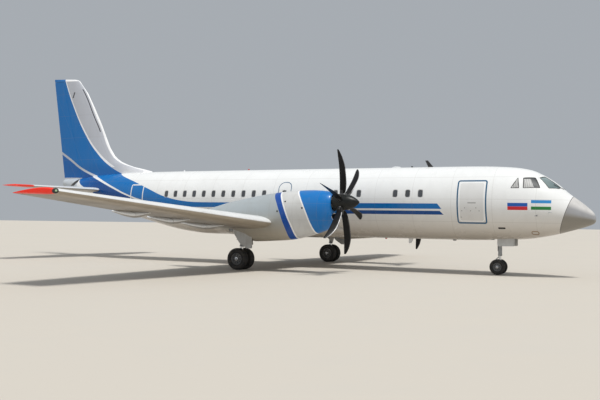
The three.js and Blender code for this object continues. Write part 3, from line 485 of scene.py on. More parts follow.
# A rounded frame drawn in side view
def frameGroup():
    tree, given, out = newGroup("roundedFrame", [(label, "Float", 0.0) for label in (
        "Station", "Height", "Middle Station", "Middle Height", "Half Length", "Half Height", "Corner", "Width")],
        [("Line", "Float"), ("Inside", "Float")])
    reaches = []
    for value, middle, half in (("Station", "Middle Station", "Half Length"),
                                ("Height", "Middle Height", "Half Height")):
        away = calc(tree, "ABSOLUTE", calc(tree, "SUBTRACT", given[value], given[middle]))
        straight = calc(tree, "SUBTRACT", given[half], given["Corner"])
        reaches.append(calc(tree, "MAXIMUM", calc(tree, "SUBTRACT", away, straight), 0.0))
    squares = [calc(tree, "MULTIPLY", reach, reach) for reach in reaches]
    distance = calc(tree, "SUBTRACT", calc(tree, "SQRT", calc(tree, "ADD", *squares)), given["Corner"])
    tree.links.new(under(tree, calc(tree, "ABSOLUTE", distance), calc(tree, "MULTIPLY", given["Width"], 0.5)),
                   out["Line"])
    tree.links.new(under(tree, distance, 0.0), out["Inside"])
    return tree


# Edges are (station, height) tables; a start is the slope, station and height of a band's slanted front end
liverySettings = {
    "white": (0.83, 0.835, 0.83, 1), "bellyShade": (0.46, 0.40, 0.33, 1), "brightBlue": (0.0, 0.15, 0.46, 1),
    "deepBlue": (0.0, 0.06, 0.25, 1), "tailBlue": (0.0, 0.115, 0.40, 1),
    "upperEdge": [(5, 2.71), (16.3, 2.72), (17.34, 2.76), (18.48, 2.96), (19.59, 3.34), (20.5, 3.66), (22.02, 4.14),
                  (22.89, 4.57), (23.81, 5.31), (24.62, 6.31), (25.32, 7.47), (25.94, 8.77), (26.22, 9.5)],
    "whiteLine": [(5, 2.465), (17, 2.465), (18.5, 2.54), (19.8, 2.76), (20.98, 3.08), (21.88, 3.40), (23.05, 3.82),
                  (24.1, 4.16), (24.9, 4.52), (25.45, 4.86), (26.2, 5.28), (26.9, 5.70)],
    "lowerEdge": [(5, 2.28), (17, 2.28), (18.5, 2.24), (20.5, 2.3), (22, 2.55), (23, 3.0), (23.8, 3.38), (24.3, 3.56),
                  (24.6, 3.77), (24.9, 3.98), (26.9, 4.0)],
    "upperStart": (0.8, 5.463, 2.518), "lowerStart": (1.0, 5.385, 2.289),
    "lineWidth": 0.075, "tailLineWidth": 0.13, "lineWidens": (21.0, 25.0), "tailBlueFrom": 23.9, "tailBlueSoft": 1.6,
    "bellyBelow": 2.0, "bellySoft": 1.2, "bellyShare": 0.85,
}


# White upper body, darkened and warmed towards the belly as painted shade and a painted ground reflection, and blue
# bands that sweep up into the tail
def liveryGroup():
    look = liverySettings
    tree, given, out = newGroup("livery", [("Vector", "Vector", None)], [("Color", "Color"), ("Blue", "Float")])
    s, y, z = stationAndHeight(tree, given["Vector"])

    def behindStart(key):
        slope, station, height = look[key]
        return over(tree, s, calc(tree, "MULTIPLY_ADD", z, slope, station - slope * height))

    # Painted shade and a painted warm ground reflection, growing towards the belly
    belly = both(tree, under(tree, z, look["bellyBelow"], look["bellySoft"]), look["bellyShare"])
    colour = paintOn(tree, look["white"], look["bellyShade"], belly)
    middle = curveOf(tree, s, look["whiteLine"])
    narrow, wide = look["lineWidens"]
    half = add(tree, "MapRange", {"Value": s, "From Min": narrow, "From Max": wide, "To Min": look["lineWidth"] / 2,
                                  "To Max": look["tailLineWidth"] / 2}).outputs[0]
    upper = both(tree, under(tree, z, curveOf(tree, s, look["upperEdge"])),
                 over(tree, z, calc(tree, "ADD", middle, half)), behindStart("upperStart"))
    lower = both(tree, under(tree, z, calc(tree, "SUBTRACT", middle, half)),
                 over(tree, z, curveOf(tree, s, look["lowerEdge"])), behindStart("lowerStart"))
    colour = paintOn(tree, colour, look["brightBlue"], upper)
    inTail = over(tree, s, look["tailBlueFrom"], look["tailBlueSoft"])
    colour = paintOn(tree, colour, paintOn(tree, look["deepBlue"], look["tailBlue"], inTail), lower)
    tree.links.new(colour, out["Color"])
    tree.links.new(either(tree, upper, lower), out["Blue"])
    return tree


grime, seams, roundedFrame, livery = grimeGroup(), seamGroup(), frameGroup(), liveryGroup()


def seamLines(tree, value, spacing, start, width):
    given = {"Value": value, "Spacing": spacing, "Start": start, "Width": width}
    return add(tree, "Group", given, node_tree=seams).outputs["Line"]


def frameMask(tree, s, z, box, corner, width):
    low, high, bottom, top = box
    given = {"Station": s, "Height": z, "Middle Station": (low + high) / 2, "Middle Height": (bottom + top) / 2,
             "Half Length": (high - low) / 2, "Half Height": (top - bottom) / 2, "Corner": corner, "Width": width}
    return add(tree, "Group", given, node_tree=roundedFrame).outputs


# A finished surface: colour may be one value or a function that paints it; it is soiled, scuffed and slightly uneven
def finishOf(name, colour, soil=(0.25, 0.22, 0.18, 1), soilShare=0.25, streakShare=0.1, rough=0.35, roughSpread=0.15,
             metal=0.0, scale=1.2, grain=0.05, depth=0.002, coat=0.0, shine=0.5, lines=None, seamShare=0.45):
    material = bpy.data.materials.new(name)
    material.use_nodes = True
    tree = material.node_tree
    shader = tree.nodes["Principled BSDF"]
    for label, value in (("Metallic", metal), ("Specular IOR Level", shine), ("Coat Weight", coat),
                         ("Coat Roughness", 0.08)):
        shader.inputs[label].default_value = value
    place = add(tree, "TexCoord").outputs["Object"]
    dirt = add(tree, "Group", {"Vector": place, "Scale": scale}, node_tree=grime).outputs
    painted = colour(tree, place, shader) if callable(colour) else colour
    height = both(tree, dirt["Grain"], grain)
    if lines:
        seam = lines(tree, place)
        painted = paintOn(tree, painted, soil, both(tree, seam, seamShare))
        height = calc(tree, "SUBTRACT", height, seam)
    painted = paintOn(tree, painted, soil, both(tree, dirt["Patches"], soilShare))
    painted = paintOn(tree, painted, soil, both(tree, dirt["Streaks"], streakShare))
    tree.links.new(painted, shader.inputs["Base Color"])
    tree.links.new(calc(tree, "MULTIPLY_ADD", dirt["Patches"], roughSpread, rough), shader.inputs["Roughness"])
    bump = add(tree, "Bump", {"Height": height, "Strength": 0.6, "Distance": depth})
    tree.links.new(bump.outputs[0], shader.inputs["Normal"])
    return material


# Panel lines: (axis, spacing, start, width); a slope leans the lines that cross the stations
def panelLines(strength, *rows, slope=0.0):
    def drawLines(tree, place):
        s, y, z = stationAndHeight(tree, place)
        axes = {"s": leaning(tree, s, z, slope) if slope else s, "y": y, "z": z}
        return both(tree, either(tree, *[seamLines(tree, axes[axis], *row) for axis, *row in rows]), strength)
    return drawLines


# Marks in side view: colour, (station from, to, bottom, top), corner, line width, what is painted, where, strength
markSettings = {
    "doorBlue": (0.02, 0.11, 0.22, 1), "white": (0.85, 0.85, 0.85, 1), "dark": (0.03, 0.03, 0.03, 1),
    "doorPanel": (0.62, 0.61, 0.60, 1), "rust": (0.28, 0.19, 0.11, 1),
    "marks": [
        ("doorPanel", (3.84, 4.74, 2.07, 3.495), 0.08, 0.03, "Inside", "bothSides", 0.5),
        ("white", (3.82, 4.76, 2.05, 3.515), 0.1, 0.035, "Line", "bothSides", 1.0),
        ("doorBlue", (3.75, 4.83, 1.98, 3.585), 0.07, 0.055, "Line", "bothSides", 1.0),
        ("white", (19.9, 20.65, 2.15, 3.54), 0.06, 0.055, "Line", "starboard", 1.0),
        ("doorBlue", (12.0, 12.6, 2.6, 3.59), 0.26, 0.03, "Line", "hatches", 1.0),
        ("dark", (4.12, 4.44, 2.72, 2.76), 0.02, 0.012, "Inside", "nearSide", 0.55),
        ("rust", (1.94, 2.18, 1.59, 1.70), 0.055, 0.03, "Line", "nearSide", 1.0),
        ("dark", (3.09, 3.36, 1.77, 1.835), 0.03, 0.01, "Inside", "starboard", 1.0),
    ],
    "latches": [(4.66, 2.44), (4.32, 2.44), (4.0, 2.44), (4.55, 2.55), (4.12, 2.55), (4.7, 2.2)], "latchHalf": 0.02,
    "blocks": [
        ((2.25, 2.96, 2.485, 2.88), [(0.80, 0.80, 0.82, 1), (0.01, 0.10, 0.42, 1), (0.62, 0.02, 0.03, 1)]),
        ((1.45, 2.13, 2.50, 2.86), [(0.03, 0.25, 0.60, 1), (0.80, 0.80, 0.80, 1), (0.01, 0.20, 0.04, 1)]),
    ],
    "blockSoft": 0.012, "sidesFrom": 0.3, "hatchesFrom": 0.9,
}


# Livery with door outlines, latches, two plain striped blocks, a port and a vent
def bodyPaint(tree, place, shader):
    look = markSettings
    colour = add(tree, "Group", {"Vector": place}, node_tree=livery).outputs["Color"]
    s, y, z = stationAndHeight(tree, place)
    offMiddle, starboard = calc(tree, "ABSOLUTE", y), under(tree, y, 0.0)
    bothSides, hatches = over(tree, offMiddle, look["sidesFrom"]), over(tree, offMiddle, look["hatchesFrom"])
    where = {"starboard": starboard, "bothSides": bothSides, "hatches": hatches,
             "nearSide": both(tree, starboard, bothSides)}
    half = look["latchHalf"]
    latches = [("dark", (station - half, station + half, height - half, height + half), 0.018, 0.01, "Inside",
                "nearSide", 0.55)
               for station, height in look["latches"]]
    for tint, box, corner, width, part, which, strength in look["marks"] + latches:
        mark = frameMask(tree, s, z, box, corner, width)[part]
        colour = paintOn(tree, colour, look[tint], both(tree, mark, where[which], strength))
    for (low, high, bottom, top), bands in look["blocks"]:
        third = (top - bottom) / 3
        for i, band in enumerate(bands):
            stripe = both(tree, within(tree, s, low, high, look["blockSoft"]),
                          within(tree, z, top - third * (i + 1), top - third * i, look["blockSoft"]))
            colour = paintOn(tree, colour, band, stripe)
    return colour


finSettings = {
    "front": (0.49, 0.51, 0.56, 1), "edge": (0.90, 0.90, 0.91, 1), "stripe": (0.05, 0.05, 0.06, 1),
    "leadingEdge": [(4.3, 20.7), (4.48, 21.44), (4.75, 22.25), (5.08, 22.72), (6.72, 23.63), (9.06, 25.15),
                    (9.19, 25.4)],
    "boot": 0.09, "bootSoft": 0.03, "greyFrom": 4.3, "greyTo": 9.0, "greySoft": 0.5, "line": (0.165, 0.22),
    "lineHeights": (6.3, 8.55), "markSlope": 0.36, "mark": (28.36, 28.44), "markHeights": (8.12, 8.42), "rim": 0.14,
    "rimFrom": 4.5,
}


# Grey fin with a bright leading edge, a dark line beside it and the livery's blue behind a white rim
def finPaint(tree, place, shader):
    look = finSettings
    group = add(tree, "Group", {"Vector": place}, node_tree=livery).outputs
    s, y, z = stationAndHeight(tree, place)
    aft = calc(tree, "SUBTRACT", s, curveOf(tree, z, look["leadingEdge"]))
    grey = both(tree, over(tree, aft, look["boot"], look["bootSoft"]),
                over(tree, z, look["greyFrom"], look["greySoft"]),
                under(tree, z, look["greyTo"]))
    colour = paintOn(tree, look["edge"], look["front"], grey)
    line = both(tree, within(tree, aft, *look["line"]), within(tree, z, *look["lineHeights"]))
    colour = paintOn(tree, colour, look["stripe"], line)
    mark = both(tree, within(tree, leaning(tree, s, z, look["markSlope"]), *look["mark"]),
                within(tree, z, *look["markHeights"]))
    colour = paintOn(tree, colour, look["stripe"], mark)
    overEdge = calc(tree, "SUBTRACT", z, curveOf(tree, s, liverySettings["upperEdge"]))
    rim = both(tree, within(tree, overEdge, 0.0, look["rim"]), over(tree, z, look["rimFrom"]))
    colour = paintOn(tree, colour, look["edge"], rim)
    return paintOn(tree, colour, group["Color"], group["Blue"])


# Lines and strips are shares of the chord, which narrows outboard of the kink
wingSettings = {
    "top": (0.74, 0.75, 0.74, 1), "below": (0.20, 0.165, 0.125, 1), "front": (0.42, 0.36, 0.28, 1),
    "edge": (0.92, 0.92, 0.91, 1), "shade": (0.12, 0.10, 0.085, 1), "walkLine": (0.08, 0.08, 0.09, 1), "kinkY": 4.9,
    "chord": 3.3, "taper": -0.16733, "leading": 11.03, "sweep": 0.09208, "walkLines": [(0.135, 0.142), (0.62, 0.627)],
    "walkStrength": 0.6, "frontTo": 0.2, "frontSoft": 0.25, "coveShadow": (0.655, 0.672), "coveShadowWidth": 5.0,
    "coveShadowStrength": 0.8, "bareTo": 0.075, "bareMetal": 0.25, "rim": (0.072, 0.082), "rimStrength": 0.6,
}


# Grey-white above; tan below, which is painted shade with a painted warm ground reflection, lighter at the lower front;
# a painted shadow in the cove ahead of the flaps; a bare polished leading edge, with a painted highlight where it faces
# up
def wingPaint(tree, place, shader):
    look = wingSettings
    s, y, z = stationAndHeight(tree, place)
    outboard = calc(tree, "MAXIMUM", calc(tree, "SUBTRACT", calc(tree, "ABSOLUTE", y), look["kinkY"]), 0.0)
    chord = calc(tree, "MULTIPLY_ADD", outboard, look["taper"], look["chord"])
    leading = calc(tree, "MULTIPLY_ADD", outboard, look["sweep"], look["leading"])
    share = calc(tree, "DIVIDE", calc(tree, "SUBTRACT", s, leading), chord)
    facing = upwardFacing(tree)
    # Colour by which way the skin faces: grey-white on top, painted shade with a warm ground reflection below
    colour = paintOn(tree, look["top"], look["below"], under(tree, facing, -0.1, 0.3))
    walk = either(tree, *[within(tree, share, *line) for line in look["walkLines"]])
    colour = paintOn(tree, colour, look["walkLine"], both(tree, walk, over(tree, facing, 0.2), look["walkStrength"]))
    # Lighter tan on the lower front, part of the painted shade below
    front = both(tree, under(tree, share, look["frontTo"], look["frontSoft"]), under(tree, facing, 0.0, 0.3))
    colour = paintOn(tree, colour, look["front"], front)
    # Painted shadow in the cove ahead of the flaps
    coveShadow = both(tree, within(tree, share, *look["coveShadow"]), under(tree, facing, -0.2),
                under(tree, outboard, look["coveShadowWidth"]), look["coveShadowStrength"])
    colour = paintOn(tree, colour, look["shade"], coveShadow)
    bare = under(tree, share, look["bareTo"])
    tree.links.new(both(tree, bare, look["bareMetal"]), shader.inputs["Metallic"])
    # Painted highlight where the bare edge faces up
    colour = paintOn(tree, colour, look["edge"], both(tree, bare, over(tree, facing, 0.1, 0.12)))
    rim = both(tree, within(tree, share, *look["rim"]), under(tree, facing, 0.6), look["rimStrength"])
    return paintOn(tree, colour, look["shade"], rim)


# Edges are (height, station) tables
nacelleSettings = {
    "azure": (0.0, 0.17, 0.52, 1), "panel": (0.62, 0.62, 0.61, 1), "white": (0.92, 0.92, 0.91, 1),
    "stripe": (0.0, 0.07, 0.36, 1), "body": (0.40, 0.44, 0.46, 1), "below": (0.42, 0.38, 0.31, 1),
    "soot": (0.10, 0.095, 0.09, 1),
    "cowlEnd": [(1.1, 9.22), (1.55, 9.34), (1.925, 9.45), (2.3, 9.58), (2.71, 9.79), (3.075, 10.06), (3.2, 10.16)],
    "stripeFront": [(1.1, 10.12), (1.4, 10.14), (1.723, 10.21), (2.06, 10.335), (2.52, 10.52), (2.95, 10.76),
                    (3.2, 10.92)],
    "stripeBack": [(1.1, 10.42), (1.234, 10.43), (1.527, 10.46), (1.907, 10.56), (2.442, 10.75), (2.893, 11.02),
                   (3.2, 11.22)],
    "cowlLine": 0.06, "stripeLine": 0.03, "belowHeight": 1.9, "belowSoft": 0.9, "sootFrom": 11.5, "sootFromSoft": 0.5,
    "sootTo": 14.2, "sootToSoft": 1.8, "sootHeights": (2.45, 2.8), "sootInside": 4.2, "sootSoft": 0.2,
    "sootStrength": 0.55,
}


# Azure cowl, pale panel, blue stripe and grey body, darker and warmer towards the bottom as painted shade and a painted
# ground reflection, with soot behind the exhaust pipe
def nacellePaint(tree, place, shader):
    look = nacelleSettings
    s, y, z = stationAndHeight(tree, place)
    # Darker and warmer towards the bottom: painted shade with a warm ground reflection
    colour = paintOn(tree, look["body"], look["below"], under(tree, z, look["belowHeight"], look["belowSoft"]))
    behindCowl = calc(tree, "SUBTRACT", s, curveOf(tree, z, look["cowlEnd"]))
    behindFront = calc(tree, "SUBTRACT", s, curveOf(tree, z, look["stripeFront"]))
    colour = paintOn(tree, colour, look["panel"], under(tree, behindFront, 0.0))
    line = look["stripeLine"]
    edges = either(tree, under(tree, behindCowl, look["cowlLine"]), within(tree, behindFront, -line, line))
    colour = paintOn(tree, colour, look["white"], edges)
    stripe = both(tree, over(tree, behindFront, line), under(tree, s, curveOf(tree, z, look["stripeBack"])))
    colour = paintOn(tree, colour, look["stripe"], stripe)
    colour = paintOn(tree, colour, look["azure"], under(tree, behindCowl, 0.0))
    soot = both(tree, over(tree, s, look["sootFrom"], look["sootFromSoft"]),
                under(tree, s, look["sootTo"], look["sootToSoft"]),
                within(tree, z, *look["sootHeights"], look["sootSoft"]),
                under(tree, calc(tree, "ABSOLUTE", y), look["sootInside"], look["sootSoft"]), look["sootStrength"])
    return paintOn(tree, colour, look["soot"], soot)


radomeSettings = {
    "grey": (0.34, 0.34, 0.35, 1), "top": (0.66, 0.64, 0.62, 1), "low": (0.26, 0.24, 0.205, 1),
    "edge": (0.10, 0.09, 0.085, 1), "slope": 0.335, "joint": 1.806, "jointWidth": 0.02,
}


# Silver-grey radome with a painted highlight on top and painted shade below, and a dark joint line
def radomePaint(tree, place, shader):
    look = radomeSettings
    s, y, z = stationAndHeight(tree, place)
    facing = upwardFacing(tree)
    # Lighter where the skin faces up and darker where it faces down: painted highlight and painted shade
    colour = paintOn(tree, look["grey"], look["top"], over(tree, facing, 0.42, 0.3))
    colour = paintOn(tree, colour, look["low"], under(tree, facing, -0.1, 0.3))
    along = leaning(tree, s, z, look["slope"])
    return paintOn(tree, colour, look["edge"], over(tree, along, look["joint"] - look["jointWidth"]))


coneSettings = {
    "grey": (0.52, 0.56, 0.60, 1), "outlet": (0.012, 0.012, 0.013, 1), "slope": 1.25, "outletStations": (29.38, 29.66),
    "outletHeights": (3.56, 3.97), "outletSoft": 0.03, "blueFrom": 3.8,
}


# Light grey cone with the dark slanted outlet of the auxiliary engine
def conePaint(tree, place, shader):
    look = coneSettings
    s, y, z = stationAndHeight(tree, place)
    along = leaning(tree, s, z, look["slope"])
    outlet = both(tree, within(tree, along, *look["outletStations"], look["outletSoft"]),
                  within(tree, z, *look["outletHeights"], look["outletSoft"]), under(tree, y, 0.0))
    blue = both(tree, under(tree, along, look["outletStations"][0]), over(tree, z, look["blueFrom"]))
    colour = paintOn(tree, look["grey"], liverySettings["brightBlue"], blue)
    return paintOn(tree, colour, look["outlet"], outlet)


tipSettings = {"red": (0.95, 0.028, 0.008, 1), "from": 14.86, "aft": 12.02}


def tipPaint(tree, place, shader):
    look = tipSettings
    s, y, z = stationAndHeight(tree, place)
    red = both(tree, over(tree, calc(tree, "ABSOLUTE", y), look["from"]), over(tree, s, look["aft"]))
    return paintOn(tree, wingPaint(tree, place, shader), look["red"], red)


tailSettings = {
    "white": (0.70, 0.71, 0.70, 1), "below": (0.42, 0.40, 0.37, 1), "edge": (0.86, 0.87, 0.88, 1),
    "tip": (0.95, 0.028, 0.008, 1), "leading": 22.82, "leadingY": 0.5, "sweep": 0.14257, "bareTo": 0.11,
    "bareMetal": 0.35, "redFrom": 4.6, "redAft": 22.5,
}


# White above, warm grey below as painted shade, a bare leading edge and red ends
def tailplanePaint(tree, place, shader):
    look = tailSettings
    s, y, z = stationAndHeight(tree, place)
    outward = calc(tree, "ABSOLUTE", y)
    leading = calc(tree, "MULTIPLY_ADD", outward, look["sweep"], look["leading"] - look["leadingY"] * look["sweep"])
    facing = upwardFacing(tree)
    bare = both(tree, under(tree, calc(tree, "SUBTRACT", s, leading), look["bareTo"]), over(tree, facing, -0.35, 0.1))
    tree.links.new(both(tree, bare, look["bareMetal"]), shader.inputs["Metallic"])
    # Warm grey where the skin faces down: painted shade
    colour = paintOn(tree, look["white"], look["below"], under(tree, facing, -0.1, 0.3))
    redEnd = both(tree, over(tree, outward, look["redFrom"]), over(tree, s, look["redAft"]))
    return paintOn(tree, paintOn(tree, colour, look["edge"], bare), look["tip"], redEnd)


bodySeams = panelLines(0.8, ("s", 1.5528, 0.42, 0.009), ("z", 0.86, 2.02, 0.009))
finSeams = panelLines(0.7, ("z", 1.15, 4.9, 0.01), ("s", 0.9, 22.1, 0.01), slope=-0.55)
wingSeams = panelLines(0.6, ("y", 1.27, 0.4, 0.01), ("s", 0.62, 11.4, 0.008))
nacelleSeams = panelLines(0.7, ("s", 0.98, 9.16, 0.008), ("z", 0.62, 1.36, 0.008))


paints = {
    "body": finishOf("bodyPaint", bodyPaint, soilShare=0.06, streakShare=0.05, rough=0.24, roughSpread=0.16, scale=0.7,
                     coat=0.08, shine=0.3, lines=bodySeams),
    "fin": finishOf("finPaint", finPaint, soilShare=0.06, streakShare=0.06, rough=0.3, scale=0.8, coat=0.05, shine=0.3,
                    lines=finSeams),
    "wing": finishOf("wingPaint", wingPaint, soilShare=0.18, streakShare=0.12, rough=0.34, scale=0.9, lines=wingSeams),
    "nacelle": finishOf("nacellePaint", nacellePaint, soilShare=0.12, streakShare=0.15, rough=0.28, scale=1.1,
                        coat=0.12, shine=0.3, lines=nacelleSeams),
    "tailplane": finishOf("tailplanePaint", tailplanePaint, soilShare=0.12, rough=0.32, lines=wingSeams),
    "tip": finishOf("tipPaint", tipPaint, soilShare=0.05, rough=0.34, scale=2.0, shine=0.3),
    "cone": finishOf("conePaint", conePaint, soilShare=0.25, rough=0.35, scale=2.0),
    "radome": finishOf("radomePaint", radomePaint, soil=(0.2, 0.19, 0.18, 1), soilShare=0.3, rough=0.36, scale=1.3,
                       coat=0.1),
}
# Plain finishes: name, colour, soil, share of soil, roughness, scale of the dirt, then what else differs
plainFinishes = {
    "doorGrey": ("doorPaint", (0.56, 0.565, 0.56), (0.25, 0.22, 0.18), 0.35, 0.42, 2.2, {"streakShare": 0.3}),
    "blade": ("bladeBlack", (0.005, 0.005, 0.006), (0.028, 0.026, 0.024), 0.35, 0.38, 5.0,
              {"grain": 0.2, "shine": 0.2}),
    "spinner": ("spinnerGrey", (0.009, 0.0105, 0.01), (0.04, 0.038, 0.035), 0.3, 0.36, 4.0, {"shine": 0.25}),
    "cuff": ("bladeCuff", (0.12, 0.12, 0.125), (0.08, 0.07, 0.06), 0.3, 0.36, 7.0, {"metal": 0.8}),
    "polished": ("polishedSteel", (0.70, 0.71, 0.72), (0.25, 0.23, 0.2), 0.2, 0.14, 8.0, {"metal": 1.0}),
    "gear": ("gearPaint", (0.42, 0.43, 0.43), (0.07, 0.06, 0.05), 0.5, 0.42, 6.0, {"streakShare": 0.35, "grain": 0.2}),
    "steel": ("plainSteel", (0.30, 0.30, 0.30), (0.08, 0.07, 0.06), 0.45, 0.35, 9.0, {"metal": 0.9, "grain": 0.2}),
    "hub": ("hubPaint", (0.13, 0.135, 0.14), (0.20, 0.16, 0.12), 0.45, 0.45, 9.0, {"grain": 0.3}),
    "tyre": ("tyreRubber", (0.012, 0.012, 0.013), (0.12, 0.105, 0.085), 0.45, 0.72, 7.0,
             {"streakShare": 0.2, "grain": 0.6, "depth": 0.004}),
    "rubber": ("darkRubber", (0.02, 0.02, 0.021), (0.1, 0.09, 0.08), 0.3, 0.6, 9.0, {"grain": 0.4}),
    "bay": ("bayPrimer", (0.20, 0.23, 0.17), (0.04, 0.04, 0.03), 0.5, 0.6, 4.0, {"streakShare": 0.4, "grain": 0.3}),
    # Near-black, used as painted shade inside holes, ducts and the exhaust pipe's end, and for the cowl dots
    "duct": ("ductDark", (0.03, 0.03, 0.032), (0.008, 0.008, 0.008), 0.5, 0.6, 6.0, {}),
    "cabin": ("cabinLining", (0.55, 0.52, 0.45), (0.25, 0.22, 0.18), 0.12, 0.55, 3.0, {"grain": 0.3}),
    "tread": ("stepTread", (0.10, 0.105, 0.11), (0.25, 0.22, 0.18), 0.4, 0.7, 14.0, {"grain": 1.0, "depth": 0.004}),
    "frame": ("windowFrame", (0.30, 0.31, 0.33), (0.1, 0.1, 0.1), 0.3, 0.35, 9.0, {}),
    "exhaust": ("exhaustSteel", (0.22, 0.17, 0.13), (0.04, 0.035, 0.03), 0.6, 0.4, 8.0, {"metal": 0.9}),
    "engine": ("engineCase", (0.42, 0.41, 0.38), (0.1, 0.08, 0.06), 0.5, 0.4, 6.0, {"metal": 0.85}),
}
for key, (name, colour, soil, soilShare, rough, scale, more) in plainFinishes.items():
    paints[key] = finishOf(name, (*colour, 1), soil=(*soil, 1), soilShare=soilShare, rough=rough, scale=scale, **more)


# Dark panes: a faint lighter band where the sky shows through
def paneGlass(name, tint, clear):
    def shadeBand(tree, place, shader):
        cloud = add(tree, "TexNoise", {"Vector": place, "Scale": 1.4, "Detail": 1.0}).outputs[0]
        band = add(tree, "MapRange", {"Value": cloud, "From Min": 0.4, "From Max": 0.7}).outputs[0]
        return paintOn(tree, tint, clear, band)
    return finishOf(name, shadeBand, soilShare=0.05, streakShare=0.08, rough=0.06, roughSpread=0.05, scale=2.0,
                    grain=0.0, coat=1.0)


def lampGlass(name, colour):
    return finishOf(name, colour, soilShare=0.05, rough=0.08, roughSpread=0.05, scale=8.0, grain=0.0, coat=1.0)


curtain = {
    "cloth": (0.52, 0.52, 0.51, 1), "foldShade": (0.27, 0.27, 0.265, 1), "dark": (0.02, 0.026, 0.032, 1), "slope": 0.468,
    "station": 2.05, "height": 3.298, "clearTo": 2.5, "top": 3.655, "foldScale": 5.2,
}


# Side panes: pale curtains behind the glass with painted shade in their folds, the front third clear and dark
def curtainedPane(tree, place, shader):
    look = curtain
    s, y, z = stationAndHeight(tree, place)
    # Painted shade in the folds of the curtains
    folds = add(tree, "TexWave", {"Vector": place, "Scale": look["foldScale"], "Distortion": 1.2, "Detail": 1.0},
                bands_direction="X").outputs["Fac"]
    cloth = paintOn(tree, look["cloth"], look["foldShade"], folds)
    frontEdge = look["station"] - look["slope"] * look["height"]
    clear = both(tree, under(tree, leaning(tree, s, z, -look["slope"]), frontEdge), under(tree, s, look["clearTo"]))
    return paintOn(tree, cloth, look["dark"], either(tree, clear, over(tree, z, look["top"])))


paints["cockpitPane"] = paneGlass("cockpitPane", (0.10, 0.15, 0.155, 1), (0.22, 0.29, 0.29, 1))
paints["sidePane"] = finishOf("sidePane", curtainedPane, soilShare=0.05, rough=0.42, roughSpread=0.05, scale=2.0,
                              grain=0.0, shine=0.3)
paints["cabinPane"] = paneGlass("cabinPane", (0.006, 0.008, 0.012, 1), (0.02, 0.026, 0.036, 1))
paints["redLamp"] = lampGlass("redLamp", (0.55, 0.05, 0.03, 1))
paints["greenLamp"] = lampGlass("greenLamp", (0.40, 0.60, 0.34, 1))
paints["clearLamp"] = lampGlass("clearLamp", (0.55, 0.57, 0.58, 1))
print("materials ready")


# Rows: station, top, bottom, height of the greatest width, half width
fuselageSections = [
    (0, 2.179, 2.175, 2.177, 0.002), (0.002, 2.215, 2.147, 2.178, 0.0375), (0.008, 2.251, 2.12, 2.18, 0.075),
    (0.02, 2.298, 2.09, 2.185, 0.118), (0.038, 2.348, 2.062, 2.193, 0.163), (0.06, 2.395, 2.035, 2.2, 0.205),
    (0.25, 2.6, 1.94, 2.25, 0.385), (0.58, 2.87, 1.83, 2.33, 0.59), (0.92, 3.125, 1.73, 2.41, 0.77),
    (1.39, 3.525, 1.6, 2.52, 0.985), (1.86, 3.83, 1.5, 2.62, 1.15), (2.35, 4.045, 1.42, 2.7, 1.275),
    (3, 4.155, 1.37, 2.76, 1.365), (4, 4.21, 1.33, 2.79, 1.42), (5.2, 4.225, 1.31, 2.795, 1.43),
    (16.8, 4.225, 1.31, 2.795, 1.43), (18.2, 4.225, 1.43, 2.81, 1.415), (20, 4.22, 1.79, 2.92, 1.3),
    (22, 4.18, 2.29, 3.12, 1.05), (24, 4.06, 2.86, 3.4, 0.68), (24.7, 3.965, 3.07, 3.5, 0.525),
    (25.3, 3.95, 3.25, 3.6, 0.38), (25.9, 3.925, 3.45, 3.7, 0.24),
]
fuselage = sectionCurve(fuselageSections)
fuselageLevel = sectionLevel(fuselage)
seam = 0.0003
joints = {"cabin": 6.0, "rear": 16.8, "cone": 24.7, "end": 25.9}
noseStations = [0, 0.002, 0.005, 0.01, 0.018, 0.028, 0.042, 0.06, 0.09, 0.13, 0.18, 0.24]
noseStations += spread(0.3, 3.4, 0.1) + spread(3.7, joints["cabin"], 0.33)

radomeJoint = [(-2, 6), (-0.204, 6), (2.141, -1), (-2, -1)]
noseJoint = [(s + seam, z) for s, z in radomeJoint]
radomeNose = makeObject("nose_radome", [(sectionBody(fuselage, noseStations), "radome")])
carve(radomeNose, [(plate(radomeJoint, -2, 2), "radome")], "INTERSECT")
shadeLike(radomeNose, fuselageLevel)
settle(radomeNose, "airframe", "radome_paint", "radome")

# Cockpit panes: corners (station, y, z) on the port side
cockpit = {
    "windscreen": [(1.954, 0.576, 3.713), (1.80, 0.22, 3.76), (1.19, 0.24, 3.335), (1.263, 0.472, 3.288),
                   (1.577, 0.775, 3.294)],
    "sidePane": [(2.491, 0.87, 3.68), (2.439, 1.16, 3.294), (1.842, 0.93, 3.302), (2.074, 0.66, 3.688)],
    "rearPane": [(2.654, 0.916, 3.711), (2.565, 1.183, 3.293), (2.885, 1.239, 3.292)], "corner": 0.045, "depth": 0.028,
    "sunk": 0.006, "rim": 0.03, "paneGap": 0.003, "paneThick": 0.02, "paneBevel": 0.003, "rimHeight": 0.0025,
    "rimDepth": 0.02, "seal": 0.035, "sealSunk": 0.001,
}


def paneOutline(corners, radius):
    ring = [at(*corner) for corner in corners]
    rounded = []
    for i, corner in enumerate(ring):
        before, after = ring[i - 1] - corner, ring[(i + 1) % len(ring)] - corner
        start, end = corner + before.normalized() * radius, corner + after.normalized() * radius
        rounded += [start * (1 - t) ** 2 + corner * (2 * t * (1 - t)) + end * t ** 2 for t in (0, 0.25, 0.5, 0.75, 1)]
        nextStart = ring[(i + 1) % len(ring)] - after.normalized() * radius
        rounded += [end.lerp(nextStart, t) for t in (0.25, 0.5, 0.75)]
    return rounded


def grownOutline(outline, by):
    middle = sum(outline, Vector()) / len(outline)
    return [p + (p - middle).normalized() * by for p in outline]


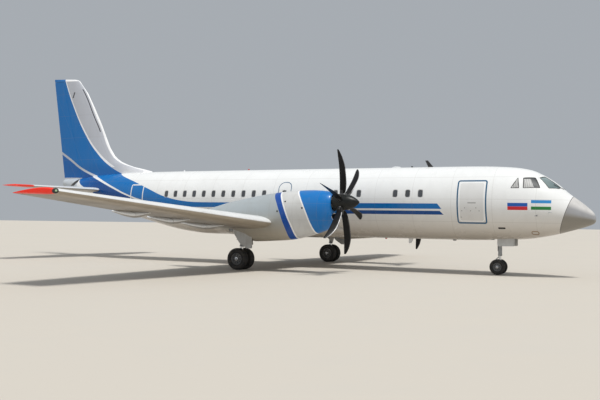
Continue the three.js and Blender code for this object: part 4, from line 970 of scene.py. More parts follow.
paneCuts, paneShapes, rimShapes = [], [], []
for label, paint in (("windscreen", "cockpitPane"), ("sidePane", "sidePane"), ("rearPane", "sidePane")):
    port = paneOutline(cockpit[label], cockpit["corner"])
    pane = grownOutline(port, -cockpit["paneGap"])
    glass = skinPatch(fuselageLevel, pane, -cockpit["sunk"], cockpit["paneThick"], cockpit["paneBevel"], 4)
    rim = skinFrame(fuselageLevel, grownOutline(port, cockpit["rim"]), port, cockpit["rimHeight"], cockpit["rimDepth"])
    seal = skinFrame(fuselageLevel, port, grownOutline(port, -cockpit["seal"]), -cockpit["sealSunk"],
                     cockpit["rimDepth"])
    for side in (1, -1):
        paneCuts.append((onSide(skinCutter(fuselageLevel, port, cockpit["depth"]), side), "rubber"))
        paneShapes.append((onSide(glass, side), paint))
        rimShapes += sided([(rim, "body"), (seal, "rubber")], side)
addPiece("cockpit_panes", paneShapes, "airframe", "glazing", "cockpit_glazing")
addPiece("cockpit_frames", rimShapes, "airframe", "white_paint")

# Door openings: station from and to, bottom, top, corner
doors = {
    "baggage": (3.75, 4.83, 1.98, 3.585, 0.12), "entry": (3.85, 4.75, 1.96, 3.68, 0.12),
    "service": (19.9, 20.65, 2.15, 3.54, 0.11), "hatch": (12.04, 12.56, 2.64, 3.55, 0.09), "wall": 0.07,
    "serviceWall": 0.06, "hatchWall": 0.05, "gap": 0.003, "baggageGap": 0.004, "entryGap": 0.012, "reach": 1.9,
    "lobby": (3.84, 4.76, 1.95, 3.69), "lobbyInner": 0.15, "lobbyOuter": 1.6,
}
noseBay = {"from": 2.85, "to": 3.76, "half": 0.29, "bottom": 1.0, "roof": 1.9}
doorStations = spread(3.4, 5.2, 0.15)


def doorPrism(label, side, grow=0.0, inner=0.5):
    low, high = (inner, doors["reach"]) if side > 0 else (-doors["reach"], -inner)
    return plate(roundBox(*doors[label], grow), low, high)


def skinDoor(name, label, side, stations, wall):
    door = makeObject(name, [(sectionBody(fuselage, stations), "body")])
    carve(door, [(doorPrism(label, side), "body")], "INTERSECT")
    longer = [stations[0] - 0.1] + stations + [stations[-1] + 0.1]
    carve(door, [(sectionBody(fuselage, longer, inset=wall), "cabin")])
    shadeLike(door, fuselageLevel)
    return door


lobbyFrom, lobbyTo, lobbyFloor, lobbyTop = doors["lobby"]
lobbyBox = brick((noseX - lobbyTo, doors["lobbyInner"], lobbyFloor), (noseX - lobbyFrom, doors["lobbyOuter"], lobbyTop))
lobby = shapeOf(carve(makeObject("lobby", [(lobbyBox, "cabin")]),
                      [(sectionBody(fuselage, doorStations, inset=doors["wall"]), "cabin")], "INTERSECT"))
noseSkin = makeObject("nose_skin", [(sectionBody(fuselage, noseStations), "body")])
bayBox = brick((noseX - noseBay["to"], -noseBay["half"], noseBay["bottom"]),
               (noseX - noseBay["from"], noseBay["half"], noseBay["roof"]))
carve(noseSkin, paneCuts + [
    (plate(noseJoint, -2, 2), "body"), (doorPrism("baggage", -1, doors["baggageGap"], 0.9), "rubber"),
    (doorPrism("entry", 1, doors["entryGap"], 1.0), "cabin"), (lobby, "cabin"), (bayBox, "bay")])
shadeLike(noseSkin, fuselageLevel)
settle(noseSkin, "airframe", "white_paint", "forward_fuselage")
settle(skinDoor("baggage_door_skin", "baggage", -1, doorStations, doors["wall"]), "airframe", "white_paint",
       "baggage_door")
settle(skinDoor("entry_door_skin", "entry", 1, doorStations, doors["wall"]), "entry_door", "white_paint", "entry_door")

# Airstair: treads with bright edges, two rails and the hinge lugs at the sill
stairs = {
    "treads": 6, "lowest": 2.19, "highest": 3.38, "stations": (3.98, 4.62), "middle": 4.3, "treadOut": (0.29, 0.04),
    "treadHalf": 0.015, "edgeOut": (0.295, 0.275), "edgeHalf": 0.02, "rails": (3.97, 4.63), "railOut": 0.17,
    "railHeights": (2.12, 3.46), "railRadius": 0.016, "lugs": (4.06, 4.54), "lugHalf": 0.025, "hinge": (1.1838, 1.942),
    "pinRadius": 0.018, "lugY": (1.166, 1.1998), "lugTop": 1.99,
}
stairParts = []
stairFront, stairBack = stairs["stations"]
for i in range(stairs["treads"]):
    height = blend(stairs["lowest"], stairs["highest"], i / (stairs["treads"] - 1))
    skin = skinY(fuselage, stairs["middle"], height)
    for (near, far), half, bevel, paint in ((stairs["treadOut"], stairs["treadHalf"], 0.006, "tread"),
                                            (stairs["edgeOut"], stairs["edgeHalf"], 0.004, "polished")):
        stairParts.append((brick((noseX - stairBack, skin - near, height - half),
                                 (noseX - stairFront, skin - far, height + half), bevel), paint))
for edge in stairs["rails"]:
    rail = [at(edge, skinY(fuselage, stairs["middle"], z) - stairs["railOut"], z)
            for z in spread(*stairs["railHeights"], 0.12)]
    stairParts.append((hose(rail, stairs["railRadius"]), "gear"))
for lug in stairs["lugs"]:
    front, back = lug - stairs["lugHalf"], lug + stairs["lugHalf"]
    low, high = stairs["lugY"]
    stairParts.append((rod(at(front, *stairs["hinge"]), at(back, *stairs["hinge"]), stairs["pinRadius"], 20), "steel"))
    stairParts.append((brick((noseX - back, low, stairs["hinge"][1]), (noseX - front, high, stairs["lugTop"]), 0.003),
                       "steel"))
addPiece("entry_stairs", stairParts, "entry_door", "bare_steel")
print("nose ready")

# Belly fairing sections in the same columns, and the cabin windows, counted in pitches forward of the first
fairing = sectionCurve([
    (9.7, 1.9, 1.33, 1.6, 0.95), (10.6, 2.2, 1.265, 1.8, 1.43), (11.6, 2.33, 1.25, 1.85, 1.59),
    (14, 2.33, 1.25, 1.85, 1.59),
    (15.1, 2.15, 1.27, 1.78, 1.44), (16.1, 1.85, 1.335, 1.6, 0.9)])
windows = {
    "first": 18.467, "pitch": 0.5176, "half": 0.11, "low": 2.94, "high": 3.26, "corner": 0.07, "depth": 0.022,
    "sunk": 0.012, "frame": 0.018, "steps": list(range(0, 11)) + [16.5, 18.5, 21.5, 22.5, 23.5], "hatchStep": 11.89,
}
centreCuts, rearCuts, hatchWindow, windowShapes = [], [], {}, []
for step in windows["steps"] + [windows["hatchStep"]]:
    middle = windows["first"] - windows["pitch"] * step
    box = (middle - windows["half"], middle + windows["half"], windows["low"], windows["high"], windows["corner"])
    outline = skinOutline(fuselage, roundBox(*box, steps=3))
    inner = skinOutline(fuselage, roundBox(*box, grow=-windows["frame"], steps=3))
    for side in (1, -1):
        cut = (onSide(skinCutter(fuselageLevel, outline, windows["depth"]), side), "frame")
        if step == windows["hatchStep"]:
            hatchWindow[side] = cut
        else:
            (rearCuts if middle > joints["rear"] else centreCuts).append(cut)
        pane = skinPatch(fuselageLevel, inner, -windows["sunk"], 0.01, 0.002, 2)
        frameShape = skinFrame(fuselageLevel, outline, inner, -0.002, 0.02)
        windowShapes += sided([(pane, "cabinPane"), (frameShape, "doorGrey")], side)
addPiece("cabin_windows", windowShapes, "airframe", "glazing")

cabinSkin = makeObject("cabin_skin",
                       [(sectionBody(fuselage, spread(joints["cabin"] + seam, joints["rear"], 0.45)), "body")])
hatchCuts = [(doorPrism("hatch", side, doors["gap"], 1.0), "rubber") for side in (1, -1)]
carve(cabinSkin, [asOneCut(centreCuts)] + hatchCuts)
shadeLike(cabinSkin, fuselageLevel)
settle(cabinSkin, "airframe", "white_paint", "centre_fuselage")
for label, side in sides.items():
    hatch = skinDoor("exit_hatch_skin_" + label, "hatch", side, spread(11.7, 12.9, 0.2), doors["hatchWall"])
    carve(hatch, [hatchWindow[side]])
    shadeLike(hatch, fuselageLevel)
    settle(hatch, "airframe", "white_paint", "exit_hatch_" + label)
addPiece("belly_fairing", [(sectionBody(fairing, spread(9.7, 16.1, 0.2), 72), "body")], "airframe", "white_paint")

rearSkin = makeObject("rear_skin",
                      [(sectionBody(fuselage, spread(joints["rear"] + seam, joints["cone"], 0.3)), "body")])
carve(rearSkin, [asOneCut(rearCuts), (doorPrism("service", -1, doors["gap"], 0.8), "rubber")])
shadeLike(rearSkin, fuselageLevel)
settle(rearSkin, "airframe", "blue_paint", "rear_fuselage")
serviceDoor = skinDoor("service_door_skin", "service", -1, spread(19.5, 21.0, 0.15), doors["serviceWall"])
settle(serviceDoor, "airframe", "blue_paint", "service_door")
tailCone = makeObject("tail_cone_skin",
                      [(sectionBody(fuselage, spread(joints["cone"] + seam, joints["end"], 0.1), 64), "cone")])
carve(tailCone, [(rod(at(25.5, 0, 3.69), at(26.0, 0, 3.70), 0.14, 40), "exhaust")])
settle(tailCone, "airframe", "tail_grey", "tail_cone")
print("fuselage ready")

# Pairs are values at the kink and at the full span; tip rings are (y, chord share, thickness share)
wing = {
    "kinkY": 4.9, "leading": (11.03, 11.96), "chord": (3.3, 1.61), "height": (1.86, 2.62), "thickness": (0.16, 0.12),
    "incidence": math.radians(2), "camber": 0.02, "span": 30.0, "gap": 0.008, "noseShare": 1.06, "squeezeShare": 0.6,
    "tipRings": [(14.55, 1, 1), (14.75, 0.998, 0.985), (14.87, 0.994, 0.96), (14.92, 0.988, 0.92),
                 (14.96, 0.975, 0.84), (14.985, 0.96, 0.72), (15.0, 0.94, 0.55)],
    "centreRings": (-4.8997, -3.2, -1.6, 0, 1.6, 3.2, 4.8997), "halfRings": (0.5, 1.6, 3.2, 4.8997),
    "outerEnds": (4.9003, 14.5497),
}
outerFlap = {"from": 4.96, "to": 10.76, "pods": [6.1, 8.2, 10.3]}
innerFlap = {"from": 1.72, "to": 3.47, "pods": [2.5]}
flapHinge = {
    "chordShare": 0.7, "pivotShare": 0.65, "below": 0.125, "ahead": 0.03, "half": 0.075, "knuckle": 0.092, "gap": 0.014,
    "podReach": 0.3,
}
aileron = {"from": 10.83, "to": 14.48, "chordShare": 0.72}
aftShape = {"length": 2.5, "rise": 0.8333, "undercut": 1.6}


def foilHeights(share, thickness, camber):
    half = 5 * thickness * (0.2969 * math.sqrt(share) - 0.126 * share - 0.3516 * share ** 2
                            + 0.2843 * share ** 3 - 0.1015 * share ** 4)
    middle = 4 * camber * share * (1 - share)
    return middle + half, middle - half


def foilOutline(chord, thickness, camber=0.0, incidence=0.0, steps=30):
    shares = [(1 - math.cos(math.pi * i / steps)) / 2 for i in range(steps + 1)]
    flat = [(share * chord, foilHeights(share, thickness, camber)[0] * chord) for share in reversed(shares)]
    flat += [(share * chord, foilHeights(share, thickness, camber)[1] * chord) for share in shares[1:]]
    turn = (math.cos(incidence), math.sin(incidence))
    return [(aft * turn[0] + up * turn[1], up * turn[0] - aft * turn[1]) for aft, up in flat]


def wingAt(y):
    t = max(0, (y - wing["kinkY"]) / (wing["span"] / 2 - wing["kinkY"]))
    return [blend(*wing[key], t) for key in ("leading", "chord", "height", "thickness")]


def wingRing(y, squeeze=1.0, thin=1.0):
    leading, chord, height, thickness = wingAt(abs(y))
    outline = foilOutline(chord * squeeze, thickness * thin, wing["camber"], wing["incidence"])
    return [at(leading + aft + (1 - squeeze) * chord * wing["squeezeShare"], y, height + up) for aft, up in outline]


# A point inside the wing at a share of its chord: station, height, half thickness, height of the lower skin
def wingPoint(y, share):
    leading, chord, height, thickness = wingAt(y)
    upper, lower = foilHeights(share, thickness, wing["camber"])
    middle = (upper + lower) / 2 * chord
    turn = (math.cos(wing["incidence"]), math.sin(wing["incidence"]))
    drop = height - share * chord * turn[1]
    station = leading + share * chord * turn[0] + middle * turn[1]
    return station, drop + middle * turn[0], (upper - lower) / 2 * chord, drop + lower * chord * turn[0]


# Everything behind a hinge line, with a round nose about the hinge
def aftOutline(station, height, radius, openBelow=False):
    angles = [math.pi / 2 + k * math.pi / 18 for k in range(10 if openBelow else 19)]
    nose = [(station + radius * math.cos(a), height + radius * math.sin(a)) for a in angles]
    if openBelow:
        nose.append((station - radius, height - radius * aftShape["undercut"]))
    back = station + aftShape["length"]
    return nose + [(back, height - aftShape["rise"]), (back, height + aftShape["rise"])]


def aftSpace(start, end, share, extra, axisAt, openBelow=False):
    along = (axisAt(end) - axisAt(start)).normalized()
    rings = []
    for y in (start, end):
        station, height, half, lower = wingPoint(y, share)
        onAxis = axisAt(y)
        ring = []
        for s, z in aftOutline(station, height, half * wing["noseShare"] + extra, openBelow):
            lean = ((noseX - s - onAxis.x) * along.x + (z - onAxis.z) * along.z) / along.y
            ring.append(at(s, y - lean, z))
        rings.append(ring)
    return loft(rings)


def flapPivot(flap, y):
    ends = []
    for end in (flap["from"], flap["to"]):
        station, height, half, lower = wingPoint(end, flapHinge["chordShare"])
        below = wingPoint(end, flapHinge["pivotShare"])[3] - flapHinge["below"]
        ends.append((station - half * wing["noseShare"] - flapHinge["ahead"], below))
    t = (y - flap["from"]) / (flap["to"] - flap["from"])
    return at(blend(ends[0][0], ends[1][0], t), y, blend(ends[0][1], ends[1][1], t))


def flapSpace(flap, extra, trim, openBelow=False):
    return aftSpace(flap["from"] + trim, flap["to"] - trim, flapHinge["chordShare"], extra,
                    lambda y: flapPivot(flap, y), openBelow)


# Hinge pods: (chord share, depth below the skin, share of the half width)
podSections = [(0.38, 0.025, 0.25), (0.42, 0.06, 0.45), (0.5, 0.13, 0.8), (0.57, 0.175, 0.95), (0.65, 0.2, 1),
               (0.75, 0.185, 1), (0.85, 0.15, 0.95), (0.95, 0.095, 0.65), (1.04, 0.05, 0.35)]


def podShape(y):
    rows = []
    for share, below, half in podSections:
        station, middle, thick, lower = wingPoint(y, min(share, 1))
        station += max(0, share - 1) * wingAt(y)[1]
        rows.append((station, lower + 0.02, lower - below, lower - below * 0.45, flapHinge["half"] * half))
    read = sectionCurve(rows)
    return sectionBody(read, spread(rows[0][0], rows[-1][0], 0.04), 24, y=y)


# A pod in two: the front stays on the wing, the rear turns with the flap
def podParts(flap, y, side):
    pivot = flapPivot(flap, y)
    s, z, reach = noseX - pivot.x, pivot.z, flapHinge["podReach"]
    front = plate(aftOutline(s, z, flapHinge["knuckle"] + flapHinge["gap"]), y - reach, y + reach)
    rear = plate(aftOutline(s, z, flapHinge["knuckle"]), y - reach, y + reach)
    fixed = carve(makeObject("pod_front", [(podShape(y), "tailplane")]), [(front, "rubber")])
    moving = carve(makeObject("pod_rear", [(podShape(y), "tailplane")]), [(rear, "rubber")], "INTERSECT")
    wingNear = makeObject("wing_near", [(loft([wingRing(y - reach), wingRing(y + reach)]), "rubber")])
    fixedWing = shapeOf(carve(wingNear, [(flapSpace(flap, 0, 0), "rubber")]))
    carve(moving, [(fixedWing, "rubber")])
    return [onSide(shapeOf(part), side) for part in (fixed, moving)]


def buildFlap(label, side, flap, name, panel):
    body = name + "_" + label
    fixedPods, movingPods = [], []
    for y in flap["pods"]:
        fixed, moving = podParts(flap, y, side)
        fixedPods.append((fixed, "tailplane"))
        movingPods.append((moving, "tailplane"))
    skin = makeObject(name + "_skin_" + label, [(onSide(panel, side), "wing")])
    carve(skin, [(onSide(flapSpace(flap, 0, wing["gap"]), side), "wing")], "INTERSECT")
    settle(skin, body, "white_paint", body)
    addPiece(name + "_pods_" + label, movingPods, body, "white_paint")
    addPiece(name + "_pod_fronts_" + label, fixedPods, "airframe", "white_paint")


def aileronAxis(y):
    station, height, half, lower = wingPoint(y, aileron["chordShare"])
    return at(station, y, height)


def aileronSpace(extra, trim):
    return aftSpace(aileron["from"] + trim, aileron["to"] - trim, aileron["chordShare"], extra, aileronAxis)


centreWing = makeObject("centre_wing_skin", [(loft([wingRing(y) for y in wing["centreRings"]]), "wing")])
innerHole = flapSpace(innerFlap, wing["gap"], 0, True)
carve(centreWing, [(innerHole, "bay"), (mirrored(innerHole), "bay")])
settle(centreWing, "airframe", "white_paint", "centre_wing")
outerPanel = loft([wingRing(y) for y in spread(*wing["outerEnds"], 1.2)])
halfPanel = loft([wingRing(y) for y in wing["halfRings"]])
outerHoles = [(flapSpace(outerFlap, wing["gap"], 0, True), "bay"), (aileronSpace(wing["gap"], 0), "bay")]
tip = loft([wingRing(y, squeeze, thin) for y, squeeze, thin in wing["tipRings"]])
for label, side in sides.items():
    outerWing = makeObject("outer_wing_skin_" + label, [(onSide(outerPanel, side), "wing")])
    carve(outerWing, sided(outerHoles, side))
    settle(outerWing, "airframe", "white_paint", "outer_wing_" + label)
    aileronSkin = makeObject("aileron_skin_" + label, [(onSide(outerPanel, side), "wing")])
    carve(aileronSkin, [(onSide(aileronSpace(0, wing["gap"]), side), "wing")], "INTERSECT")
    settle(aileronSkin, "aileron_" + label, "white_paint", "aileron_" + label)
    addPiece("wing_tip_skin_" + label, [(onSide(tip, side), "tip")], "airframe", "red_paint", "wing_tip_" + label,
             smoothAngle=40)
    buildFlap(label, side, outerFlap, "outer_flap", outerPanel)
    buildFlap(label, side, innerFlap, "inner_flap", halfPanel)
print("wings ready")

# Fin: (height, station) along the leading edge, then the trailing and hinge lines as (station, height) ends
fin = {
    "leading": [(3.94, 19.9), (4.26, 20.4), (4.48, 21.44), (4.75, 22.25), (5.08, 22.72), (6.72, 23.63), (9.06, 25.15),
                (9.15, 25.26), (9.186, 25.42)],
    "trailing": ((26.0, 3.97), (26.877, 9.186)), "hinge": ((24.8, 3.985), (26.25, 9.05)), "thickness": 0.105,
    "fullChord": 4.0,
    "heights": [3.94, 4.05, 4.15, 4.26, 4.37, 4.48, 4.6, 4.75, 4.9, 5.08, 5.5, 6.1, 6.72, 7.5, 8.3, 9.02, 9.06, 9.1,
                9.13, 9.16, 9.186],
    "top": 9.186, "capFrom": 9.1, "capHeight": 0.086, "capShares": (0.55, 0.45), "topDrop": 0.07, "dropFrom": 8.9,
    "dropHeight": 0.286, "dropTo": 26.8, "opening": (3.9, 9.03), "rudder": (3.985, 9.02),
    "rudderHeights": (4.48, 5.08, 6.72), "rudderGap": 0.012,
}
finLeading = sectionCurve(fin["leading"])


def alongLine(line, height):
    (lowStation, low), (highStation, high) = line
    return blend(lowStation, highStation, (height - low) / (high - low))


def finRing(height):
    leading = finLeading(height)[0]
    chord = alongLine(fin["trailing"], height) - leading
    base, rest = fin["capShares"]
    cap = 1 if height <= fin["capFrom"] else base + rest * (fin["top"] - height) / fin["capHeight"]
    share = fin["thickness"] * min(chord, fin["fullChord"]) / chord * cap
    slope = fin["topDrop"] * max(0, (height - fin["dropFrom"]) / fin["dropHeight"])
    return [at(leading + aft, side, height - slope * max(0, fin["dropTo"] - leading - aft))
            for aft, side in foilOutline(chord, share)]


def rudderSpace(low, high, extra):
    rings = []
    for height in (low, *fin["rudderHeights"], high):
        station, leading = alongLine(fin["hinge"], height), finLeading(height)[0]
        chord = alongLine(fin["trailing"], height) - leading
        thickness = fin["thickness"] * min(chord, fin["fullChord"]) / chord
        half = foilHeights((station - leading) / chord, thickness, 0)[0] * chord
        rings.append([at(s, side, height) for s, side in aftOutline(station, 0, half * wing["noseShare"] + extra)])
    return loft(rings)


finFull = loft([finRing(height) for height in fin["heights"]])
finSkin = carve(makeObject("fin_skin", [(finFull, "fin")]), [(rudderSpace(*fin["opening"], fin["rudderGap"]), "bay")])
settle(finSkin, "airframe", "tail_grey", "fin")
rudderSkin = carve(makeObject("rudder_skin", [(finFull, "fin")]), [(rudderSpace(*fin["rudder"], 0), "fin")],
                   "INTERSECT")
settle(rudderSkin, "rudder", "tail_blue", "rudder")

tailplane = {
    "rootY": 0.5, "tipY": 5.55, "leading": (22.82, 23.54), "chord": (2.23, 0.93), "height": 3.33, "thickness": 0.11,
    "elevator": (0.83, 5.33), "hingeShare": 0.64, "rings": (0.5, 1.7, 3.0, 4.2),
    "tipRings": [(5.42, 1, 1), (5.48, 0.98, 0.9), (5.52, 0.93, 0.75), (5.55, 0.8, 0.5)],
}


def tailplaneAt(y):
    t = (y - tailplane["rootY"]) / (tailplane["tipY"] - tailplane["rootY"])
    return blend(*tailplane["leading"], t), blend(*tailplane["chord"], t)


def tailplaneRing(y, squeeze=1.0, thin=1.0):
    leading, chord = tailplaneAt(y)
    return [at(leading + aft + (1 - squeeze) * chord * wing["squeezeShare"], y, tailplane["height"] + up)
            for aft, up in foilOutline(chord * squeeze, tailplane["thickness"] * thin)]


def elevatorSpace(extra, trim):
    rings = []
    start, end = tailplane["elevator"]
    for y in (start + trim, end - trim):
        leading, chord = tailplaneAt(y)
        half = foilHeights(tailplane["hingeShare"], tailplane["thickness"], 0)[0] * chord
        hinge = leading + chord * tailplane["hingeShare"]
        rings.append([at(s, y, z) for s, z in aftOutline(hinge, tailplane["height"], half * wing["noseShare"] + extra)])
    return loft(rings)


tailplaneFull = loft([tailplaneRing(y) for y in tailplane["rings"]] + [tailplaneRing(*ring)
                                                                       for ring in tailplane["tipRings"]])
for label, side in sides.items():
    tailSkin = makeObject("tailplane_skin_" + label, [(onSide(tailplaneFull, side), "tailplane")])
    carve(tailSkin, [(onSide(elevatorSpace(wing["gap"], 0), side), "bay")])
    settle(tailSkin, "airframe", "tail_white", "tailplane_" + label)
    elevatorSkin = makeObject("elevator_skin_" + label, [(onSide(tailplaneFull, side), "tailplane")])
    carve(elevatorSkin, [(onSide(elevatorSpace(0, wing["gap"]), side), "tailplane")], "INTERSECT")
    settle(elevatorSkin, "elevator_" + label, "tail_white", "elevator_" + label)
print("tail ready")

engine = {
    "y": 4.2, "thrust": 2.66, "bladePlane": 8.377, "tip": 7.69, "hubBack": 8.655, "hubFront": 8.18,
    "frontRadius": 0.285,
}
nacelle = sectionCurve([
    (8.69, 2.99, 1.88, 2.48, 0.41), (8.82, 3.045, 1.71, 2.45, 0.49), (9.1, 3.09, 1.57, 2.42, 0.56),
    (9.6, 3.11, 1.4, 2.38, 0.61), (10.4, 3.08, 1.23, 2.3, 0.635), (11.2, 3.0, 1.165, 2.2, 0.64),
    (12.05, 2.87, 1.125, 2.1, 0.64), (12.3, 2.825, 1.26, 2.08, 0.635), (13.25, 2.63, 1.53, 2.04, 0.59),
    (14, 2.425, 1.62, 2.0, 0.51), (14.9, 2.19, 1.74, 1.96, 0.37), (15.6, 2.03, 1.83, 1.93, 0.17)])
mainBay = {"from": 12.13, "to": 13.15, "half": 0.34, "bottom": 0.9, "roof": 1.56}
# Lip and end: (station, inset). Scoop: (station, half width, half height, drop)
cowl = {
    "front": 8.69, "lip": [(0, 0.03), (0.003, 0.018), (0.012, 0.007), (0.028, 0.0)],
    "end": [(15.59, 0.02), (15.6, 0.06)],
    "stations": spread(8.76, 12.0, 0.12) + spread(12.05, 12.3, 0.06) + spread(12.45, 15.55, 0.16),
    "opening": [(8.6, 0.345), (8.69, 0.34), (8.71, 0.30), (9.2, 0.285)],
    "scoop": [(8.6, 0.265, 0.125, 0), (8.69, 0.255, 0.115, 0), (8.73, 0.235, 0.1, 0), (9.1, 0.2, 0.08, 0.03)],
    "scoopHeight": 2.13, "scoopRim": [(0.03, 0.012), (-0.004, 0.016), (-0.012, 0.008), (-0.008, -0.002), (0.06, -0.01)],
    "scoopHalf": (0.25, 0.11),
    "pipe": [(11.05, 3.62, 2.62), (11.2, 3.60, 2.63), (11.4, 3.575, 2.64), (11.56, 3.55, 2.65)], "pipeRadius": 0.1,
    "pipeBore": 0.088, "boreEnds": [(11.53, 3.555, 2.65), (11.565, 3.549, 2.65)],
    "dots": [(9.731, 2.426), (10.466, 2.655), (10.764, 2.294)], "dot": [(0, 0.035), (0.024, 0.035), (0.027, 0.02)],
    "dotSunk": 0.02, "sides": 72,
}


def aboutThrust(steps, y, count=64, capped=True):
    return turned(at(0, y, engine["thrust"]), (-1, 0, 0), steps, count, capped)


def ovalRing(station, y, height, halfWidth, halfHeight, count=48):
    angles = [2 * math.pi * i / count for i in range(count)]
    return [at(station, y + halfWidth * math.cos(a), height + halfHeight * math.sin(a)) for a in angles]


def buildNacelle(label, side):
    y, count = engine["y"], cowl["sides"]
    lip = [sectionRing(nacelle, cowl["front"] + along, count, inset, y) for along, inset in cowl["lip"]]
    shell = loft(lip + [sectionRing(nacelle, s, count, 0, y) for s in cowl["stations"]]
                 + [sectionRing(nacelle, s, count, inset, y) for s, inset in cowl["end"]])
    skin = makeObject("nacelle_skin_" + label, [(onSide(shell, side), "nacelle")])
    opening = aboutThrust(cowl["opening"], y)
    scoop = loft([ovalRing(s, y, cowl["scoopHeight"] - drop, w, h) for s, w, h, drop in cowl["scoop"]])
    bay = brick((noseX - mainBay["to"], y - mainBay["half"], mainBay["bottom"]),
                (noseX - mainBay["from"], y + mainBay["half"], mainBay["roof"]))
    # The walls of the intake and the scoop are near-black: painted shade
    carve(skin, sided([(opening, "duct"), (scoop, "duct"), (bay, "bay")], side), smoothAngle=26)
    settle(skin, "airframe", "azure_paint", "nacelle_" + label)
    halfWidth, halfHeight = cowl["scoopHalf"]
    rim = loft([ovalRing(cowl["front"] + along, y, cowl["scoopHeight"], halfWidth + out, halfHeight + out)
                for along, out in cowl["scoopRim"]], capped=False)
    pipe = hose([at(*point) for point in cowl["pipe"]], cowl["pipeRadius"], 28)
    # A near-black plug in the pipe's end: painted shade of its inside
    bore = rod(*[at(*point) for point in cowl["boreEnds"]], cowl["pipeBore"], 28)
    shapes = [(rim, "polished"), (pipe, "exhaust"), (bore, "duct")]
    for station, height in cowl["dots"]:
        for way in (1, -1):
            spot = at(station, y + way * (skinY(nacelle, station, height) - cowl["dotSunk"]), height)
            shapes.append((turned(spot, (0, way, 0), cowl["dot"], 20), "duct"))
    addPiece("nacelle_fittings_" + label, sided(shapes, side), "airframe", "bare_steel")


# Feathered blades: share of the radius, chord, thickness, pitch from the plane of rotation, sweep back
blades = sectionCurve([
    (0.1, 0.15, 0.13, 100, -0.02), (0.16, 0.17, 0.105, 98.5, -0.03), (0.22, 0.235, 0.075, 96, -0.05),
    (0.42, 0.27, 0.045, 88, -0.095),
    (0.66, 0.265, 0.028, 80, -0.105), (0.86, 0.205, 0.016, 74, -0.05), (0.95, 0.13, 0.011, 71.5, 0.0),
    (1, 0.07, 0.008, 70, 0.035)])
# Outline and sheath: shares of chord and thickness. Collars: (distance from the axis, radius)
bladeShape = {
    "count": 6, "firstAngle": -0.2146, "radius": 1.965,
    "outline": [(-0.5, 0.0), (-0.47, 0.16), (-0.38, 0.32), (-0.22, 0.46), (0.0, 0.5), (0.2, 0.42), (0.38, 0.24),
                (0.5, 0.03), (0.5, -0.03), (0.3, -0.22), (0.05, -0.36), (-0.2, -0.4), (-0.4, -0.28), (-0.48, -0.12)],
    "shares": spread(0.17, 0.86, 0.05) + [0.9, 0.93, 0.955, 0.975, 0.988, 1.0], "sheathShares": spread(0.3, 0.96, 0.06),
    "sheath": [(-0.508, 0.0), (-0.475, 0.18), (-0.40, 0.34), (-0.40, 0.20), (-0.40, -0.20), (-0.42, -0.30),
               (-0.485, -0.14)],
    "collar": [(0.2, 0.078), (0.31, 0.078), (0.32, 0.074), (0.335, 0.074), (0.345, 0.069), (0.40, 0.067)],
    "boot": [(0.36, 0.069), (0.40, 0.069), (0.41, 0.066), (0.46, 0.064)],
}
hubShape = {
    "bore": 0.075, "boreEnd": 8.9, "steps": [(8.24, 0.288), (8.377, 0.297), (8.52, 0.3075)], "edge": 0.319,
    "back": 0.31, "boltStation": 8.2, "bolts": 24, "boltFrom": 0.283, "boltTo": 0.2885, "boltRadius": 0.006,
    "spinnerShares": spread(0, 0.9, 0.06) + [0.94, 0.97, 0.985, 0.994, 1.0],
}


def bladeFrame(index, y):
    angle = bladeShape["firstAngle"] + index * 2 * math.pi / bladeShape["count"]
    out, around = Vector((0, math.sin(angle), math.cos(angle))), Vector((0, math.cos(angle), -math.sin(angle)))
    return at(engine["bladePlane"], y, engine["thrust"]), out, around


def bladeLoft(index, y, shares, edge):
    middle, out, around = bladeFrame(index, y)
    ahead = Vector((1, 0, 0))
    rings = []
    for share in shares:
        chord, thickness, pitch, sweep = blades(share)
        pitchTurn = math.radians(pitch)
        chordWay = ahead * math.sin(pitchTurn) - around * math.cos(pitchTurn)
        thickWay = ahead * math.cos(pitchTurn) + around * math.sin(pitchTurn)
        centre = middle + out * (share * bladeShape["radius"]) - chordWay * sweep
        rings.append([centre + chordWay * (-a * chord) + thickWay * (t * thickness) for a, t in edge])
    return loft(rings)


def buildPropeller(label, y):
    shapes = []
    for i in range(bladeShape["count"]):
        middle, out = bladeFrame(i, y)[:2]
        shapes += [(bladeLoft(i, y, bladeShape["shares"], bladeShape["outline"]), "blade"),
                   (bladeLoft(i, y, bladeShape["sheathShares"], bladeShape["sheath"]), "cuff"),
                   (turned(middle, out, bladeShape["collar"]), "cuff"),
                   (turned(middle, out, bladeShape["boot"]), "rubber")]
    back, front, edge, thrust = engine["hubBack"], engine["hubFront"], hubShape["edge"], engine["thrust"]
    hub = [(front, 0.27), (front, 0.2835), (front + 0.01, 0.2855)] + hubShape["steps"]
    hub += [(back - 0.012, edge), (back - 0.002, edge + 0.0005), (back, hubShape["back"]), (back, hubShape["bore"]),
            (hubShape["boreEnd"], hubShape["bore"])]
    shapes.append((aboutThrust(hub, y), "spinner"))
    addPiece("propeller_blades_" + label, shapes, "propeller_" + label, "blade_composite", "propeller_" + label,
             smoothAngle=38)
    length = front - engine["tip"] - seam
    profile = [(front - seam - length * t, engine["frontRadius"] * (1 - t ** 1.5) ** 0.75 - 0.0005)
               for t in hubShape["spinnerShares"]]
    shell = [(aboutThrust([(front - seam, 0.05)] + profile, y), "spinner")]
    for a in spread(0, 2 * math.pi, 2 * math.pi / hubShape["bolts"])[:-1]:
        ends = [at(hubShape["boltStation"], y + r * math.sin(a), thrust + r * math.cos(a))
                for r in (hubShape["boltFrom"], hubShape["boltTo"])]
        shell.append((rod(*ends, hubShape["boltRadius"], 8), "cuff"))
    addPiece("spinner_shell_" + label, shell, "propeller_" + label, "spinner_grey", "spinner_" + label, smoothAngle=45)


for label, side in sides.items():
    buildNacelle(label, side)
    buildPropeller(label, side * engine["y"])
    nodes["engine_" + label].material_slots[0].material = paints["engine"]
print("engines ready")

